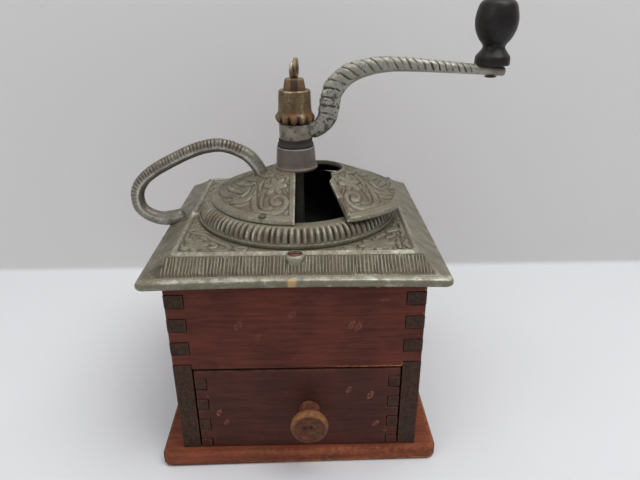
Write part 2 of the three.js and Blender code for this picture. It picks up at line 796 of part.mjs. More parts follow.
function makeLid(group) {
  const lid = new THREE.Group();
  lid.position.set(lidPivotX, lidPivotY, coverSeat);
  lid.rotation.z = lidOpenAngle;
  group.add(lid);
  const reach = coverRadius + overrun;
  const rightHalf = block(seam, reach, -reach, reach, -overrun, coverRise + overrun);
  const half = sharedBy(domeShell(lidNotchRadius), rightHalf);
  const lugY = -coverRadius + coverBandWidth + lidLugLength;
  const lugX = lidLugWidth / 2 + 2 * seam;
  const lugRadius = Math.hypot(lugX, lugY);
  const lugTilt = Math.atan2(coverRise - coverBandHeight, coverRadius - collarRadius);
  const lug = new THREE.BoxGeometry(lidLugWidth, lidLugLength, lidLugHeight + coverWall / 2);
  lug.rotateX(lugTilt);
  lug.translate(lugX, lugY, domeHeight(lugRadius));
  const earHeight = coverBandHeight + coverWall / 2;
  const ear = bar(lidEarRadius, 0, earHeight, { x: lidPivotX, y: lidPivotY });
  const pinHole = bar(lidPinRadius + runningGap, -overrun, coverRise,
    { x: lidPivotX, y: lidPivotY, sides: screwSides });
  const headRoom = bar(lidPinHeadRadius + runningGap, earHeight, coverRise,
    { x: lidPivotX, y: lidPivotY, sides: screwSides });
  const cornerCut = bar(lidCornerCutRadius, 0, coverRise + overrun, { x: lidCornerCutX, y: lidCornerCutY });
  const body = cutBy(joined(half, lug, ear), pinHole, headRoom, cornerCut);
  named('hopper_lid', body, castIron, lid, [-lidPivotX, -lidPivotY, 0]);
  const pin = turned([
    [0, seam - rivetLength],
    [lidPinRadius, seam - rivetLength],
    [lidPinRadius, earHeight + seam],
    [lidPinHeadRadius, earHeight + seam],
    [lidPinHeadRadius, earHeight + lidPinHeadHeight / 2],
    [lidPinHeadRadius / 2, earHeight + lidPinHeadHeight],
    [0, earHeight + lidPinHeadHeight],
  ], screwSides);
  named('lid_pivot_pin', pin, steel, group, [lidPivotX, lidPivotY, coverSeat]);
}

// Carrying handle from the fixed cover to the plate's left border

const handleTop = coverSeat + coverRise + handleArch;
const handleRivetX = -handleRivetReach;
const handleScrewX = handleScrewInset - plateWidth / 2;

function handleRivetHole() {
  return bar(rivetRadius + seam, 0, coverRise + overrun, { x: handleRivetX, sides: screwSides });
}

function makeHandle(group) {
  const screwReachShare = 0.65;
  const outermost = -plateWidth / 2 - handleReach;
  const rivetRise = coverSeat + domeHeight(handleRivetReach);
  const screwRise = borderHeight(handleScrewX);
  const leg = (startX, lowZ, shares) => shares.map(([outShare, upShare]) => new THREE.Vector3(
    THREE.MathUtils.lerp(startX, outermost, outShare), 0,
    THREE.MathUtils.lerp(lowZ, handleTop, upShare)));
  const risingShares = [[0, -0.1], [0.035, 0.21], [0.104, 0.61], [0.2, 0.86], [0.315, 1]];
  const fallingShares = [[0.437, 0.981], [0.552, 0.921], [0.687, 0.816], [0.827, 0.692],
    [0.936, 0.552], [0.987, 0.422], [1, 0.286]];
  const footShares = [[0.944, 0.16], [0.768, 0.066], [0.519, 0.016], [0.235, 0.027], [0, 0.055]];
  const curve = new THREE.CatmullRomCurve3([
    ...leg(handleRivetX + handleRivetMargin, rivetRise, risingShares),
    ...leg(handleRivetX + handleRivetMargin, screwRise, fallingShares),
    ...leg(handleScrewX + handleScrewMargin, screwRise, footShares),
  ]);
  const handle = limb(curve, () => handleThickness / 2, () => handleDepth / 2,
    handleStations, handleSides);
  const domeClear = turned([
    [0, 0],
    [coverRadius + seam, 0],
    ...domeLine(coverRadius, collarRadius, seam),
    [0, domeHeight(collarRadius) + seam],
  ]);
  domeClear.translate(0, 0, coverSeat);
  const rivetEnd = rivetRise + handleThickness / 2;
  const screwEnd = screwRise + handleThickness * screwReachShare;
  const holes = [
    bar(rivetRadius + seam, coverSeat, rivetEnd + seam, { x: handleRivetX, sides: screwSides }),
    bar(woodScrewRadius + seam, plateBottom, screwEnd + seam, { x: handleScrewX, sides: screwSides }),
  ];
  const cuts = [domeClear, plateBody(seam), ...holes];
  named('side_handle', cutBy(handle, ...cuts), castIron, group);
  const rivetSeat = coverSeat + domeHeight(handleRivetReach + rivetHeadRadius) - coverWall - seam;
  const rivet = screw(rivetRadius, rivetHeadRadius, rivetHeadHeight, rivetEnd - rivetSeat);
  const rivetMesh = named('handle_rivet', rivet, steel, group, [handleRivetX, 0, rivetSeat]);
  rivetMesh.rotation.x = Math.PI;
  const headSeat = plateBottom + woodScrewHeadHeight + seam;
  const body = screw(woodScrewRadius, woodScrewHeadRadius, woodScrewHeadHeight, screwEnd - headSeat);
  const mesh = named('handle_screw', body, steel, group, [handleScrewX, 0, headSeat]);
  mesh.rotation.x = Math.PI;
}

// Burr ring, cone, bridge and the two long screws under the hopper

function makeBurr(group) {
  const bottomBore = coneRadius + burrGap;
  const bore = lofted([
    toothedRing(bottomBore + toothDepth, ringBottom - overrun, ringTeeth, toothDepth, 0),
    toothedRing(throatRadius - seam, ringTop + overrun, ringTeeth, toothDepth, Math.PI / ringTeeth),
  ]);
  const ears = block(-lugReach, lugReach, -lugWidth / 2, lugWidth / 2, ringTop - lugThickness, ringTop);
  const ring = joined(bar(ringRadius, ringBottom, ringTop, { sides: turnedSides }), ears);
  const earHoles = [-bridgeScrewX, bridgeScrewX].map((x) => bar(machineScrewRadius + seam,
    ringBottom, ringTop + overrun, { x, sides: screwSides }));
  named('grinding_ring', cutBy(ring, bore, ...earHoles), innerIron, group);

  const footTop = ringTop - lugThickness - seam;
  const footBottom = footTop - bridgeThickness;
  const legInner = ringRadius + bridgeLegGap;
  const legOuter = bridgeScrewX - machineScrewHeadRadius - seam;
  const outline = new THREE.Shape([
    [-lugReach, footTop],
    [-lugReach, footBottom],
    [-legOuter, footBottom],
    [-legOuter, bridgeBottom],
    [legOuter, bridgeBottom],
    [legOuter, footBottom],
    [lugReach, footBottom],
    [lugReach, footTop],
    [legInner, footTop],
    [legInner, bridgeTop],
    [-legInner, bridgeTop],
    [-legInner, footTop],
  ].map(([x, z]) => new THREE.Vector2(x, z)));
  const strap = new THREE.ExtrudeGeometry(outline, { depth: lugWidth, bevelEnabled: false });
  strap.rotateX(Math.PI / 2);
  strap.translate(0, lugWidth / 2, 0);
  const boss = bar(bridgeBossRadius, bridgeBottom, bridgeTop);
  const bridgeHoles = [
    bar(journalRadius + runningGap, bridgeBottom - overrun, bridgeTop + overrun),
    ...[-bridgeScrewX, bridgeScrewX].map((x) => bar(machineScrewRadius + seam, footBottom - overrun,
      footTop + overrun, { x, sides: screwSides })),
  ];
  named('spindle_bridge', cutBy(joined(strap, boss), ...bridgeHoles), innerIron, group);
  const length = hopperBottom + lugThickness - footBottom + seam;
  for (const [name, x] of [['bridge_screw_left', -bridgeScrewX], ['bridge_screw_right', bridgeScrewX]]) {
    const body = screw(machineScrewRadius, machineScrewHeadRadius, machineScrewHeadHeight, length);
    const mesh = named(name, body, steel, group, [x, 0, footBottom - seam]);
    mesh.rotation.x = Math.PI;
  }
}

// Spindle with its square neck and thread, the cone it carries and the cone's cross pin

function makeSpindle(group) {
  const tail = bridgeBottom - journalTail;
  const squareTop = hubTop - seam - spindleTravel;
  const threadTop = nutBottom + nutSkirtHeight + nutBarrelHeight - threadRadius;
  const squareLow = collarTop + seam;
  const shaft = turned([
    [0, tail],
    [journalRadius, tail],
    [journalRadius, coneBottom - seam],
    [spindleRadius, coneBottom - seam],
    [spindleRadius, squareLow],
    [threadRadius, squareLow],
    [threadRadius, threadTop],
    [0, threadTop],
  ], smallSides);
  const half = squareWidth / 2;
  const square = block(-half, half, -half, half, squareLow - seam, squareTop);
  const pinZ = (coneTop + coneBottom) / 2;
  const pinHole = bar(conePinRadius + seam, -coneRadius - overrun, coneRadius + overrun,
    { sides: screwSides });
  pinHole.rotateX(Math.PI / 2);
  pinHole.translate(0, 0, pinZ);
  named('spindle', cutBy(joined(shaft, square), pinHole), steel, group);

  const levels = 5;
  const rings = [];
  for (let level = 0; level <= levels; level += 1) {
    const share = level / levels;
    rings.push(toothedRing(THREE.MathUtils.lerp(coneRadius, coneTopRadius, share),
      THREE.MathUtils.lerp(coneBottom, coneTop, share), coneTeeth, toothDepth, coneTwist * share));
  }
  const coneBore = bar(spindleRadius + seam, coneBottom - overrun, coneTop + overrun);
  named('grinding_cone', cutBy(lofted(rings), coneBore, pinHole), innerIron, group);
  const pinHalf = (coneRadius + coneTopRadius) / 2 - toothDepth - seam;
  const pin = bar(conePinRadius, -pinHalf, pinHalf, { sides: screwSides });
  pin.rotateX(Math.PI / 2);
  named('cone_pin', pin, steel, group, [0, 0, pinZ]);
}

// Washer, crank, knob and its pin, in a frame whose origin is the hub's underside

const knobSeatShare = 1.095;
const armEndRiseShare = 1;
const armEndThicknessShare = 0.43;
const knobSeat = crankRise * knobSeatShare;

function makeCrank(group) {
  const washer = turned([
    [boreRadius, 0],
    [washerRadius, 0],
    [washerTopRadius, washerThickness],
    [boreRadius, washerThickness],
    [boreRadius, 0],
  ], smallSides);
  named('collar_washer', washer, leather, group, [0, 0, collarTop + seam]);

  const crank = new THREE.Group();
  crank.position.set(0, 0, hubBottom);
  group.add(crank);
  const reachShares = [0.02, 0.11, 0.163, 0.18, 0.205, 0.275, 0.39, 0.5, 0.73, 1.065];
  const riseShares = [0.13, 0.15, 0.3, 0.53, 0.78, 0.98, 1.09, 1.12, 1.08, armEndRiseShare];
  const thicknessShares = [0.84, 0.86, 0.92, 0.98, 1.03, 1, 0.85, 0.77, 0.62, armEndThicknessShare];
  const curve = new THREE.CatmullRomCurve3(reachShares.map((share, place) => new THREE.Vector3(
    share * crankReach, 0, riseShares[place] * crankRise)));
  const arm = limb(curve,
    (share) => armThickness / 2 * between(thicknessShares, share),
    () => armDepth / 2, armStations, armSides);
  const hub = bar(hubRadius, 0, hubHeight);
  const aboveArm = crankRise + armThickness;
  const nutRoom = bar(nutSkirtRadius + 2 * runningGap, hubHeight, aboveArm);
  const hole = squareWidth / 2 + seam;
  const square = block(-hole, hole, -hole, hole, -overrun, hubHeight + overrun);
  const pinHole = bar(knobPinRadius + seam, 0, aboveArm, { x: crankReach, sides: screwSides });
  const below = block(-hubRadius, crankReach, -armDepth, armDepth, -crankRise, 0);
  const knobRoom = bar(knobRadius, knobSeat - seam, aboveArm, { x: crankReach });
  const body = cutBy(joined(arm, hub), nutRoom, square, pinHole, below, knobRoom);
  named('crank_arm', body, crankIron, crank);
  makeKnob(crank);
}

function makeKnob(crank) {
  const radiusShares = [0.82, 0.84, 0.84, 0.76, 0.62, 0.66, 0.84, 0.97, 1, 0.95, 0.8, 0.5];
  const heightShares = [0, 0.02, 0.11, 0.19, 0.28, 0.33, 0.43, 0.55, 0.68, 0.8, 0.92, 0.985];
  const outline = radiusShares.map((share, place) => [
    share * knobRadius,
    heightShares[place] * knobHeight,
  ]);
  const knobBody = turned([[0, 0], ...outline, [0, knobHeight]], smallSides);
  const headSeat = knobHeight - knobPinHeadHeight;
  const bore = bar(knobPinRadius + runningGap, -overrun, knobHeight + overrun, { sides: screwSides });
  const sink = bar(knobPinHeadRadius + runningGap, headSeat, knobHeight + overrun, { sides: screwSides });
  named('crank_knob', cutBy(knobBody, bore, sink), blackWood, crank, [crankReach, 0, knobSeat]);
  const armUnderside = crankRise * armEndRiseShare - armThickness / 2 * armEndThicknessShare;
  const tipHeight = armUnderside - knobSeat - seam;
  const pin = turned([
    [0, tipHeight - knobPinFootHeight],
    [knobPinEndRadius, tipHeight - knobPinFootHeight],
    [knobPinHeadRadius, tipHeight],
    [knobPinRadius, tipHeight],
    [knobPinRadius, headSeat + seam],
    [knobPinHeadRadius, headSeat + seam],
    [knobPinEndRadius, knobHeight],
    [0, knobHeight],
  ], screwSides);
  named('knob_pin', pin, steel, crank, [crankReach, 0, knobSeat]);
}

// Brass regulator nut with its lobed skirt and its eye

function makeNut(group) {
  const lobed = (share, height) => {
    const ring = [];
    const steps = nutLobes * 4;
    for (let step = 0; step < steps; step += 1) {
      const angle = step / steps * 2 * Math.PI;
      const lobe = Math.abs(Math.cos(angle * nutLobes / 2));
      const radius = share * THREE.MathUtils.lerp(nutBarrelRadius, nutSkirtRadius, lobe);
      ring.push(new THREE.Vector3(radius * Math.cos(angle), radius * Math.sin(angle), height));
    }
    return ring;
  };
  const skirtShares = [[0.92, 0], [1, 0.25], [1, 0.75], [0.9, 1]];
  const skirt = lofted(skirtShares.map(([outShare, upShare]) => lobed(outShare, upShare * nutSkirtHeight)));
  const barrelTop = nutSkirtHeight + nutBarrelHeight;
  const barrel = turned([
    [0, 0],
    [nutFootRadius, 0],
    [nutBarrelRadius, nutSkirtHeight],
    [nutShoulderRadius, barrelTop - nutSkirtHeight / 4],
    [nutCrownRadius, barrelTop],
    [0, barrelTop],
  ], smallSides);
  const top = new THREE.CylinderGeometry(nutTopEndRadius, nutTopRadius, nutTopHeight + seam, 6);
  top.rotateX(Math.PI / 2);
  top.translate(0, 0, barrelTop + (nutTopHeight - seam) / 2);
  const eye = new THREE.TorusGeometry(eyeHeight / 2 - eyeWire, eyeWire, 6, 14);
  eye.rotateX(Math.PI / 2);
  eye.rotateZ(eyeTurn);
  eye.translate(0, 0, barrelTop + nutTopHeight + eyeHeight / 2 - eyeWire / 2);
  const bore = bar(threadRadius + runningGap, -overrun, barrelTop - threadRadius / 2);
  named('regulator_nut', cutBy(joined(skirt, barrel, top, eye), bore), agedBrass, group,
    [0, 0, nutBottom]);
}

// The whole mill

const mill = new THREE.Group();
const baseHoles = makeBase(mill);
const plateScrewHoles = [-bossY, bossY].map((y) => woodScrewHole(0, y, plateScrewSeat, true));
makeBox(mill, baseHoles, plateScrewHoles);
makeDrawer(mill);
makePlate(mill);
makeHopper(mill);
makeCover(mill);
makeLid(mill);
makeHandle(mill);
makeBurr(mill);
makeSpindle(mill);
makeCrank(mill);
makeNut(mill);

export default mill;
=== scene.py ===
import json
import math
import bmesh
import bpy
import numpy as np
from mathutils import Matrix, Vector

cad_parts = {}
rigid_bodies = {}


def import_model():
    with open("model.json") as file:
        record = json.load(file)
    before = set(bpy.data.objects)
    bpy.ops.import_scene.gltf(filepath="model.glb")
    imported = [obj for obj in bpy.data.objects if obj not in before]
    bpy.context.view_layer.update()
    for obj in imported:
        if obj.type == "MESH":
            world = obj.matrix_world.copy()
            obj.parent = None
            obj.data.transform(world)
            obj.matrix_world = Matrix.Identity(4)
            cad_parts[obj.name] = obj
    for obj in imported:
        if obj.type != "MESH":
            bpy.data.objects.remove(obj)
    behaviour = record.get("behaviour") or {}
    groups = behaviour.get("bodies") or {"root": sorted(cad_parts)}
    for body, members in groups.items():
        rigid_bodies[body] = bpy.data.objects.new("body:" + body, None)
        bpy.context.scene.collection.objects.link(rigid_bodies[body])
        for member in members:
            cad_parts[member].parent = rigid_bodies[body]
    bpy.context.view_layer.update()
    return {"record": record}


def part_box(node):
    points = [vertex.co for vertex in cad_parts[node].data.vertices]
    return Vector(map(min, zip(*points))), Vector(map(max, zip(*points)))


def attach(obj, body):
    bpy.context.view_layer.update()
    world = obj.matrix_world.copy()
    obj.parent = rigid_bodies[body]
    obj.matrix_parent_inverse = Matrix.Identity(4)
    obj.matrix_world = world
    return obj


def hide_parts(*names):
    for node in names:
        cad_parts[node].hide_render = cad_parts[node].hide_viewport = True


# A wooden box coffee mill with a cast iron top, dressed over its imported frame.
# Shapes are worked out in millimetres and go into the meshes in metres.
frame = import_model()
print("frame loaded")

# lengths are worked out in millimetres, this many to the metre
perMetre = 1000
creaseAngle = 42  # degrees between two faces from which their edge is sharp


# a to b by the share t: a + (b - a) t
def lerp(a, b, t):
    return a + (b - a) * t


# 0 below low, 1 above high, and the smooth step 3t^2 - 2t^3 between them
def ramp(low, high, value):
    t = np.clip((value - low) / (high - low), 0, 1)
    return t * t * (3 - 2 * t)


# 1 below low and 0 above high: one less the smooth step
def fall(low, high, value):
    return 1 - ramp(low, high, value)


# a bell curve, e to the power of -(offset / width)^2
def bell(offset, width):
    return np.exp(-(offset / width) ** 2)


# angles spaced evenly round a full circle: 2 pi i / count
def circle(count):
    return np.arange(count) / count * 2 * math.pi


# turns of a cell's sine by its place and its seed, and the factor that makes the sine large
cellSteps = (127.1, 311.7, 74.7)
seedStep = 19.19
sineFactor = 43758.5453


# a whole cell's random number: the fraction of a large sine of its place
def cellValue(cell, seed):
    byPlace = cell[..., 0] * cellSteps[0] + cell[..., 1] * cellSteps[1] + cell[..., 2] * cellSteps[2]
    large = np.sin(byPlace + seed * seedStep) * sineFactor
    return large - np.floor(large)


# value noise from -1 to 1: the cells' random numbers mixed smoothly between the eight corners
def lumps(points, size, seed):
    place = points / size
    low = np.floor(place)
    t = place - low
    t = t * t * (3 - 2 * t)
    total = np.zeros(points.shape[:-1])
    for corner in np.ndindex(2, 2, 2):
        weight = np.prod(np.where(np.array(corner), t, 1 - t), axis=-1)
        total += weight * cellValue(low + corner, seed)
    return total * 2 - 1


# a smooth curve through points: centripetal Catmull-Rom, its knots spaced by the root of the chord
def throughPoints(points, perSpan=10):
    p = np.asarray(points, float)
    p = np.vstack([2 * p[0] - p[1], p, 2 * p[-1] - p[-2]])
    chord = np.linalg.norm(np.diff(p, axis=0), axis=1)
    knot = np.concatenate([[0], np.cumsum(np.sqrt(chord) + 1e-9)])
    mix = lambda t, j, k, a, b: ((knot[k] - t) * a + (t - knot[j]) * b) / (knot[k] - knot[j])
    spans = []
    for i in range(1, len(p) - 2):
        t = np.linspace(knot[i], knot[i + 1], perSpan, endpoint=False)[:, None]
        first, second, third = (mix(t, j, j + 1, p[j], p[j + 1]) for j in (i - 1, i, i + 1))
        left, right = mix(t, i - 1, i + 1, first, second), mix(t, i, i + 2, second, third)
        spans.append(mix(t, i, i + 1, left, right))
    return np.vstack(spans + [p[-2:-1]])


# the same curve at evenly spaced places along its length, and the length at each
def evenly(path, count):
    length = np.concatenate([[0], np.cumsum(np.linalg.norm(np.diff(path, axis=0), axis=1))])
    at = np.linspace(0, length[-1], count)
    return np.stack([np.interp(at, length, path[:, axis]) for axis in range(path.shape[1])], axis=-1), at


# rows and columns of points joined by four-sided faces; a side that isn't a loop is closed by one face
def gridShell(points, rowsLoop=False, columnsLoop=True, **marks):
    rows, columns = points.shape[:2]
    row = np.arange(rows if rowsLoop else rows - 1)[:, None]
    column = np.arange(columns if columnsLoop else columns - 1)[None, :]
    here, above = row * columns, (row + 1) % rows * columns
    beside = (column + 1) % columns
    corners = np.broadcast_arrays(here + column, here + beside, above + beside, above + column)
    ends = []
    if not rowsLoop:
        ends += [np.arange(columns)[::-1], (rows - 1) * columns + np.arange(columns)]
    if not columnsLoop:
        ends += [np.arange(rows) * columns, (np.arange(rows) * columns + columns - 1)[::-1]]
    return {
        "points": points.reshape(-1, 3),
        "quads": np.stack(corners, axis=-1).reshape(-1, 4),
        "ends": ends,
        "marks": {name: np.broadcast_to(value, (rows, columns)).ravel() for name, value in marks.items()},
    }


# six times the volume inside the faces, the sum of a . (b x c) over triangles; its sign tells their side
def signedVolume(shell):
    p = shell["points"] - shell["points"].mean(0)
    a, b, c, d = (p[shell["quads"][:, corner]] for corner in range(4))
    total = np.einsum("ij,ij->", a, np.cross(b, c)) + np.einsum("ij,ij->", a, np.cross(c, d))
    for end in shell["ends"]:
        e = p[end]
        total += np.einsum("ij,ij->", np.broadcast_to(e[0], e[1:-1].shape), np.cross(e[1:-1], e[2:]))
    return total


def addObject(name, data):
    made = bpy.data.objects.new(name, data)
    bpy.context.scene.collection.objects.link(made)
    return made


# a piece of the object: it rides its body and takes the place of its solids
def addPiece(name, mesh, body, stands=()):
    piece = addObject(name, mesh)
    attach(piece, body)
    if stands:
        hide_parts(*stands)
    return piece


plainMarks = {"relief": 0.55}  # a mark that a shell doesn't give; the others are 0


# one mesh object from closed shells, in metres, smooth but for edges over the given angle
def makePiece(name, shells, body, material, stands=(), angle=creaseAngle):
    markNames = sorted({mark for shell in shells for mark in shell["marks"]})
    points, corners, totals, start = [], [], [], 0
    marks = {mark: [] for mark in markNames}
    for shell in shells:
        inward = signedVolume(shell) < 0
        quads = shell["quads"][:, ::-1] if inward else shell["quads"]
        corners.append(quads.ravel() + start)
        totals.append(np.full(len(quads), 4))
        for end in shell["ends"]:
            corners.append((end[::-1] if inward else end) + start)
            totals.append(np.array([len(end)]))
        points.append(shell["points"])
        for mark in markNames:
            plain = np.full(len(shell["points"]), plainMarks.get(mark, 0.0))
            marks[mark].append(shell["marks"].get(mark, plain))
        start += len(shell["points"])
    points, corners, totals = np.vstack(points), np.concatenate(corners), np.concatenate(totals)
    mesh = bpy.data.meshes.new(name)
    mesh.vertices.add(len(points))
    mesh.vertices.foreach_set("co", (points / perMetre).astype(np.float32).ravel())
    mesh.loops.add(len(corners))
    mesh.loops.foreach_set("vertex_index", corners.astype(np.int32))
    mesh.polygons.add(len(totals))
    mesh.polygons.foreach_set("loop_start", (np.cumsum(totals) - totals).astype(np.int32))
    mesh.update(calc_edges=True)
    for mark in markNames:
        layer = mesh.attributes.new(mark, "FLOAT", "POINT")
        layer.data.foreach_set("value", np.concatenate(marks[mark]).astype(np.float32))
    mesh.shade_smooth()
    mesh.set_sharp_from_angle(angle=math.radians(angle))
    mesh.materials.append(material)
    return addPiece(name, mesh, body, stands)


# a turned shell: (x + r cos a, y + r sin a, z) for each radius r and height z of the profile
def turnedShell(profile, sides=72, x=0.0, y=0.0, bored=False, **marks):
    profile = np.asarray(profile, float)
    angle = circle(sides)
    radius, height = profile[:, :1], profile[:, 1:2]
    grid = np.broadcast_arrays(x + radius * np.cos(angle), y + radius * np.sin(angle), height + 0 * angle)
    return gridShell(np.stack(grid, -1), rowsLoop=bored, **marks)


# an oval section carried along a path in the XZ plane: the path, plus its upward side by b sin a, plus Y by
# c cos a; gives the section's points, its angles and the path in space
def sweptGrid(path, halfHeight, halfDepth, sides, square=1.0):
    tangent = np.gradient(path, axis=0)
    tangent /= np.linalg.norm(tangent, axis=1)[:, None]
    turn = circle(sides)
    c, s = (np.sign(v) * np.abs(v) ** square for v in (np.cos(turn), np.sin(turn)))
    rise = halfHeight[:, None] * s
    grid = np.stack([
        path[:, :1] - tangent[:, 1:] * rise,
        halfDepth[:, None] * c,
        path[:, 1:] + tangent[:, :1] * rise,
    ], -1)
    return grid, turn, np.stack([path[:, 0], 0 * path[:, 0], path[:, 1]], -1)


# the share of its full size that a rounded end has: the root of 1 - (1 - distance / radius)^2 within the radius
def roundedEnd(toEnd, radius, least=0.0):
    return np.where(toEnd < radius, np.sqrt(np.clip(1 - (1 - toEnd / radius) ** 2, least, 1)), 1)


# sections drawn in toward their path where they are grooved: middle + (point - middle) (1 - depth groove)
def grooved(grid, spine, depth, groove):
    middle = spine[:, None, :]
    return middle + (grid - middle) * (1 - depth * groove[..., None])


# the distance from each place to a path and the share along it where that is
def nearestOnPath(x, y, path):
    best, share = np.full(x.shape, 1e9), np.zeros(x.shape)
    length = np.concatenate([[0], np.cumsum(np.linalg.norm(np.diff(path, axis=0), axis=1))])
    for i in range(len(path) - 1):
        (ax, ay), (bx, by) = path[i], path[i + 1]
        along = (bx - ax) ** 2 + (by - ay) ** 2 + 1e-12
        t = np.clip(((x - ax) * (bx - ax) + (y - ay) * (by - ay)) / along, 0, 1)
        gap = np.hypot(x - ax - t * (bx - ax), y - ay - t * (by - ay))
        nearer = gap < best
        best = np.where(nearer, gap, best)
        share = np.where(nearer, (length[i] + t * (length[i + 1] - length[i])) / length[-1], share)
    return best, share


# what cast ornament is like: a stroke's flatness, the painted shade line at its foot, the vein along it, the
# low winding filling, and the relief mark of ground, crest and the foot's painted shade
carving = {
    "flatness": 0.5, "footWidth": 0.5, "vein": 0.22, "veinWidth": 0.2, "perSpan": 5,
    "filling": 0.45, "windingSize": 4.6, "windingWidth": 0.3, "finerShare": 0.6,
    "ground": 0.31, "crest": 0.40, "footShade": 0.42,
}


# raised strokes on a face seen from above: each lifts by (1 - (distance / half width)^2)^flatness, with a
# vein along its middle, and leaves a line of painted shade round its foot by a bell curve of the distance from
# its outline
def strokesLift(x, y, strokes):
    c = carving
    lift, foot = np.zeros(x.shape), np.zeros(x.shape)
    for points, widths in strokes:
        path = throughPoints(points, c["perSpan"])
        reach = max(widths) + 3 * c["footWidth"]
        near = (x > path[:, 0].min() - reach) & (x < path[:, 0].max() + reach)
        near &= (y > path[:, 1].min() - reach) & (y < path[:, 1].max() + reach)
        if not near.any():
            continue
        gap, share = nearestOnPath(x[near], y[near], path)
        half = np.interp(share, np.linspace(0, 1, len(widths)), widths) + 1e-6
        body = np.clip(1 - (gap / half) ** 2, 0, 1) ** c["flatness"]
        body *= 1 - c["vein"] * bell(gap, c["veinWidth"] * half)
        lift[near] = np.maximum(lift[near], body)
        foot[near] = np.maximum(foot[near], bell(gap - half, c["footWidth"]))
    return lift, foot


# low scrolls that fill the ground: ridges where two sizes of smooth noise add up to nothing
def windingLift(x, y, seed):
    place = np.stack([x, y, 0 * x], -1)
    size = carving["windingSize"]
    field = lumps(place, size, seed) + carving["finerShare"] * lumps(place, size * 0.5, seed + 1)
    return np.clip(1 - (field / carving["windingWidth"]) ** 2, 0, 1)


# a petal's start and middle as shares of the way to its tip, its widths there and at the tip as shares of its
# own, and the knot in the rosette's middle
petalShape = {
    "start": 0.28, "middle": 0.64, "startWidth": 0.5, "tipWidth": 0.8, "knotWidth": 0.75, "knotHalf": 0.01,
}


# the strokes of a rosette: a petal from near its middle to each tip
def petals(centre, tips, width):
    s = petalShape
    middle = np.array(centre, float)
    strokes = []
    for tip in np.array(tips, float):
        ray = [lerp(middle, tip, s["start"]), lerp(middle, tip, s["middle"]), tip]
        strokes.append((ray, [s["startWidth"] * width, width, s["tipWidth"] * width]))
    knot = [middle + [-s["knotHalf"], 0], middle + [s["knotHalf"], 0]]
    return strokes + [(knot, [s["knotWidth"] * width] * 2)]


# the whole ornament: strokes over the filling, mirrored to the back; gives its lift and its relief mark, painted
# darker round the strokes' feet as shade
def ornament(x, y, strokes, seed):
    c = carving
    ahead, behind = strokesLift(x, y, strokes), strokesLift(x, -y, strokes)
    lift, foot = (np.maximum(*pair) for pair in zip(ahead, behind))
    filling = windingLift(x, np.abs(y), seed) * c["filling"] * (1 - foot) * (lift <= 0)
    raised = np.maximum(lift, filling)
    return raised, c["ground"] + c["crest"] * raised - c["footShade"] * foot * fall(0, 0.5, lift)


# a node's inputs: one that is a socket is linked, another one is set
def feed(tree, node, inputs):
    for name, value in inputs.items():
        if isinstance(value, bpy.types.NodeSocket):
            tree.links.new(value, node.inputs[name])
        else:
            node.inputs[name].default_value = value


# a colour as it is seen on a screen, 0 to 255, made linear
def paint(red, green, blue):
    seen = np.array([red, green, blue]) / 255
    linear = np.where(seen < 0.04045, seen / 12.92, ((seen + 0.055) / 1.055) ** 2.4)
    return (*[float(value) for value in linear], 1.0)


def addNode(tree, kind, inputs=None, **settings):
    made = tree.nodes.new(kind)
    for name, value in settings.items():
        setattr(made, name, value)
    feed(tree, made, inputs or {})
    return made


def maths(tree, operation, *values, clamp=False):
    made = addNode(tree, "ShaderNodeMath", dict(enumerate(values)), operation=operation, use_clamp=clamp)
    return made.outputs[0]


def times(tree, a, b, clamp=False):
    return maths(tree, "MULTIPLY", a, b, clamp=clamp)


def plus(tree, a, b):
    return maths(tree, "ADD", a, b)


def minus(tree, a, b, clamp=False):
    return maths(tree, "SUBTRACT", a, b, clamp=clamp)


# the places of a colour mixing node's sockets
mixSockets = {"share": 0, "a": 6, "b": 7, "result": 2}


def vectors(tree, operation, a, b):
    return addNode(tree, "ShaderNodeVectorMath", {0: a, 1: b}, operation=operation).outputs[0]


def scaled(tree, vector, scale):
    return addNode(tree, "ShaderNodeVectorMath", {0: vector, "Scale": scale}, operation="SCALE").outputs[0]


def split(tree, vector):
    return addNode(tree, "ShaderNodeSeparateXYZ", {0: vector}).outputs


def mixColour(tree, share, a, b):
    inputs = {mixSockets["share"]: share, mixSockets["a"]: a, mixSockets["b"]: b}
    return addNode(tree, "ShaderNodeMix", inputs, data_type="RGBA").outputs[mixSockets["result"]]


def remap(tree, value, low, high, toLow=0.0, toHigh=1.0):
    ends = {"Value": value, "From Min": low, "From Max": high, "To Min": toLow, "To Max": toHigh}
    return addNode(tree, "ShaderNodeMapRange", ends, interpolation_type="SMOOTHSTEP").outputs[0]


def noise(tree, place, scale, detail, roughness, distortion=0.0):
    inputs = {"Vector": place, "Scale": scale, "Detail": detail, "Roughness": roughness, "Distortion": distortion}
    return addNode(tree, "ShaderNodeTexNoise", inputs).outputs["Fac"]


def startGroup(name, inputs, outputs):
    tree = bpy.data.node_groups.new(name, "ShaderNodeTree")
    for label, kind, value in inputs:
        socket = tree.interface.new_socket(label, in_out="INPUT", socket_type="NodeSocket" + kind)
        if value is not None:
            socket.default_value = value
    for label, kind in outputs:
        tree.interface.new_socket(label, in_out="OUTPUT", socket_type="NodeSocket" + kind)
    return tree, tree.nodes.new("NodeGroupInput").outputs, tree.nodes.new("NodeGroupOutput").inputs


def placeGroup(tree, group, **inputs):
    return addNode(tree, "ShaderNodeGroup", inputs, node_tree=group).outputs


# wood grain: streak size in mm, how much longer streaks are than wide, and each noise's frequency as a factor
# of the streaks', with its detail, roughness and distortion
grainSizes = {
    "streak": 5.0, "stretch": 14.0,
    "broad": (3.0, 0.5, 0.6), "broadShare": 0.6,
    "fineFactor": 4.5, "fine": (3.0, 0.6, 0.2), "fineShare": 0.4, "streakEnds": (0.34, 0.66),
    "poreFactor": 11.0, "pores": (2.0, 0.5), "poreEnds": (0.56, 0.68),
    "cloud": (0.035, 2.0, 0.5),
}


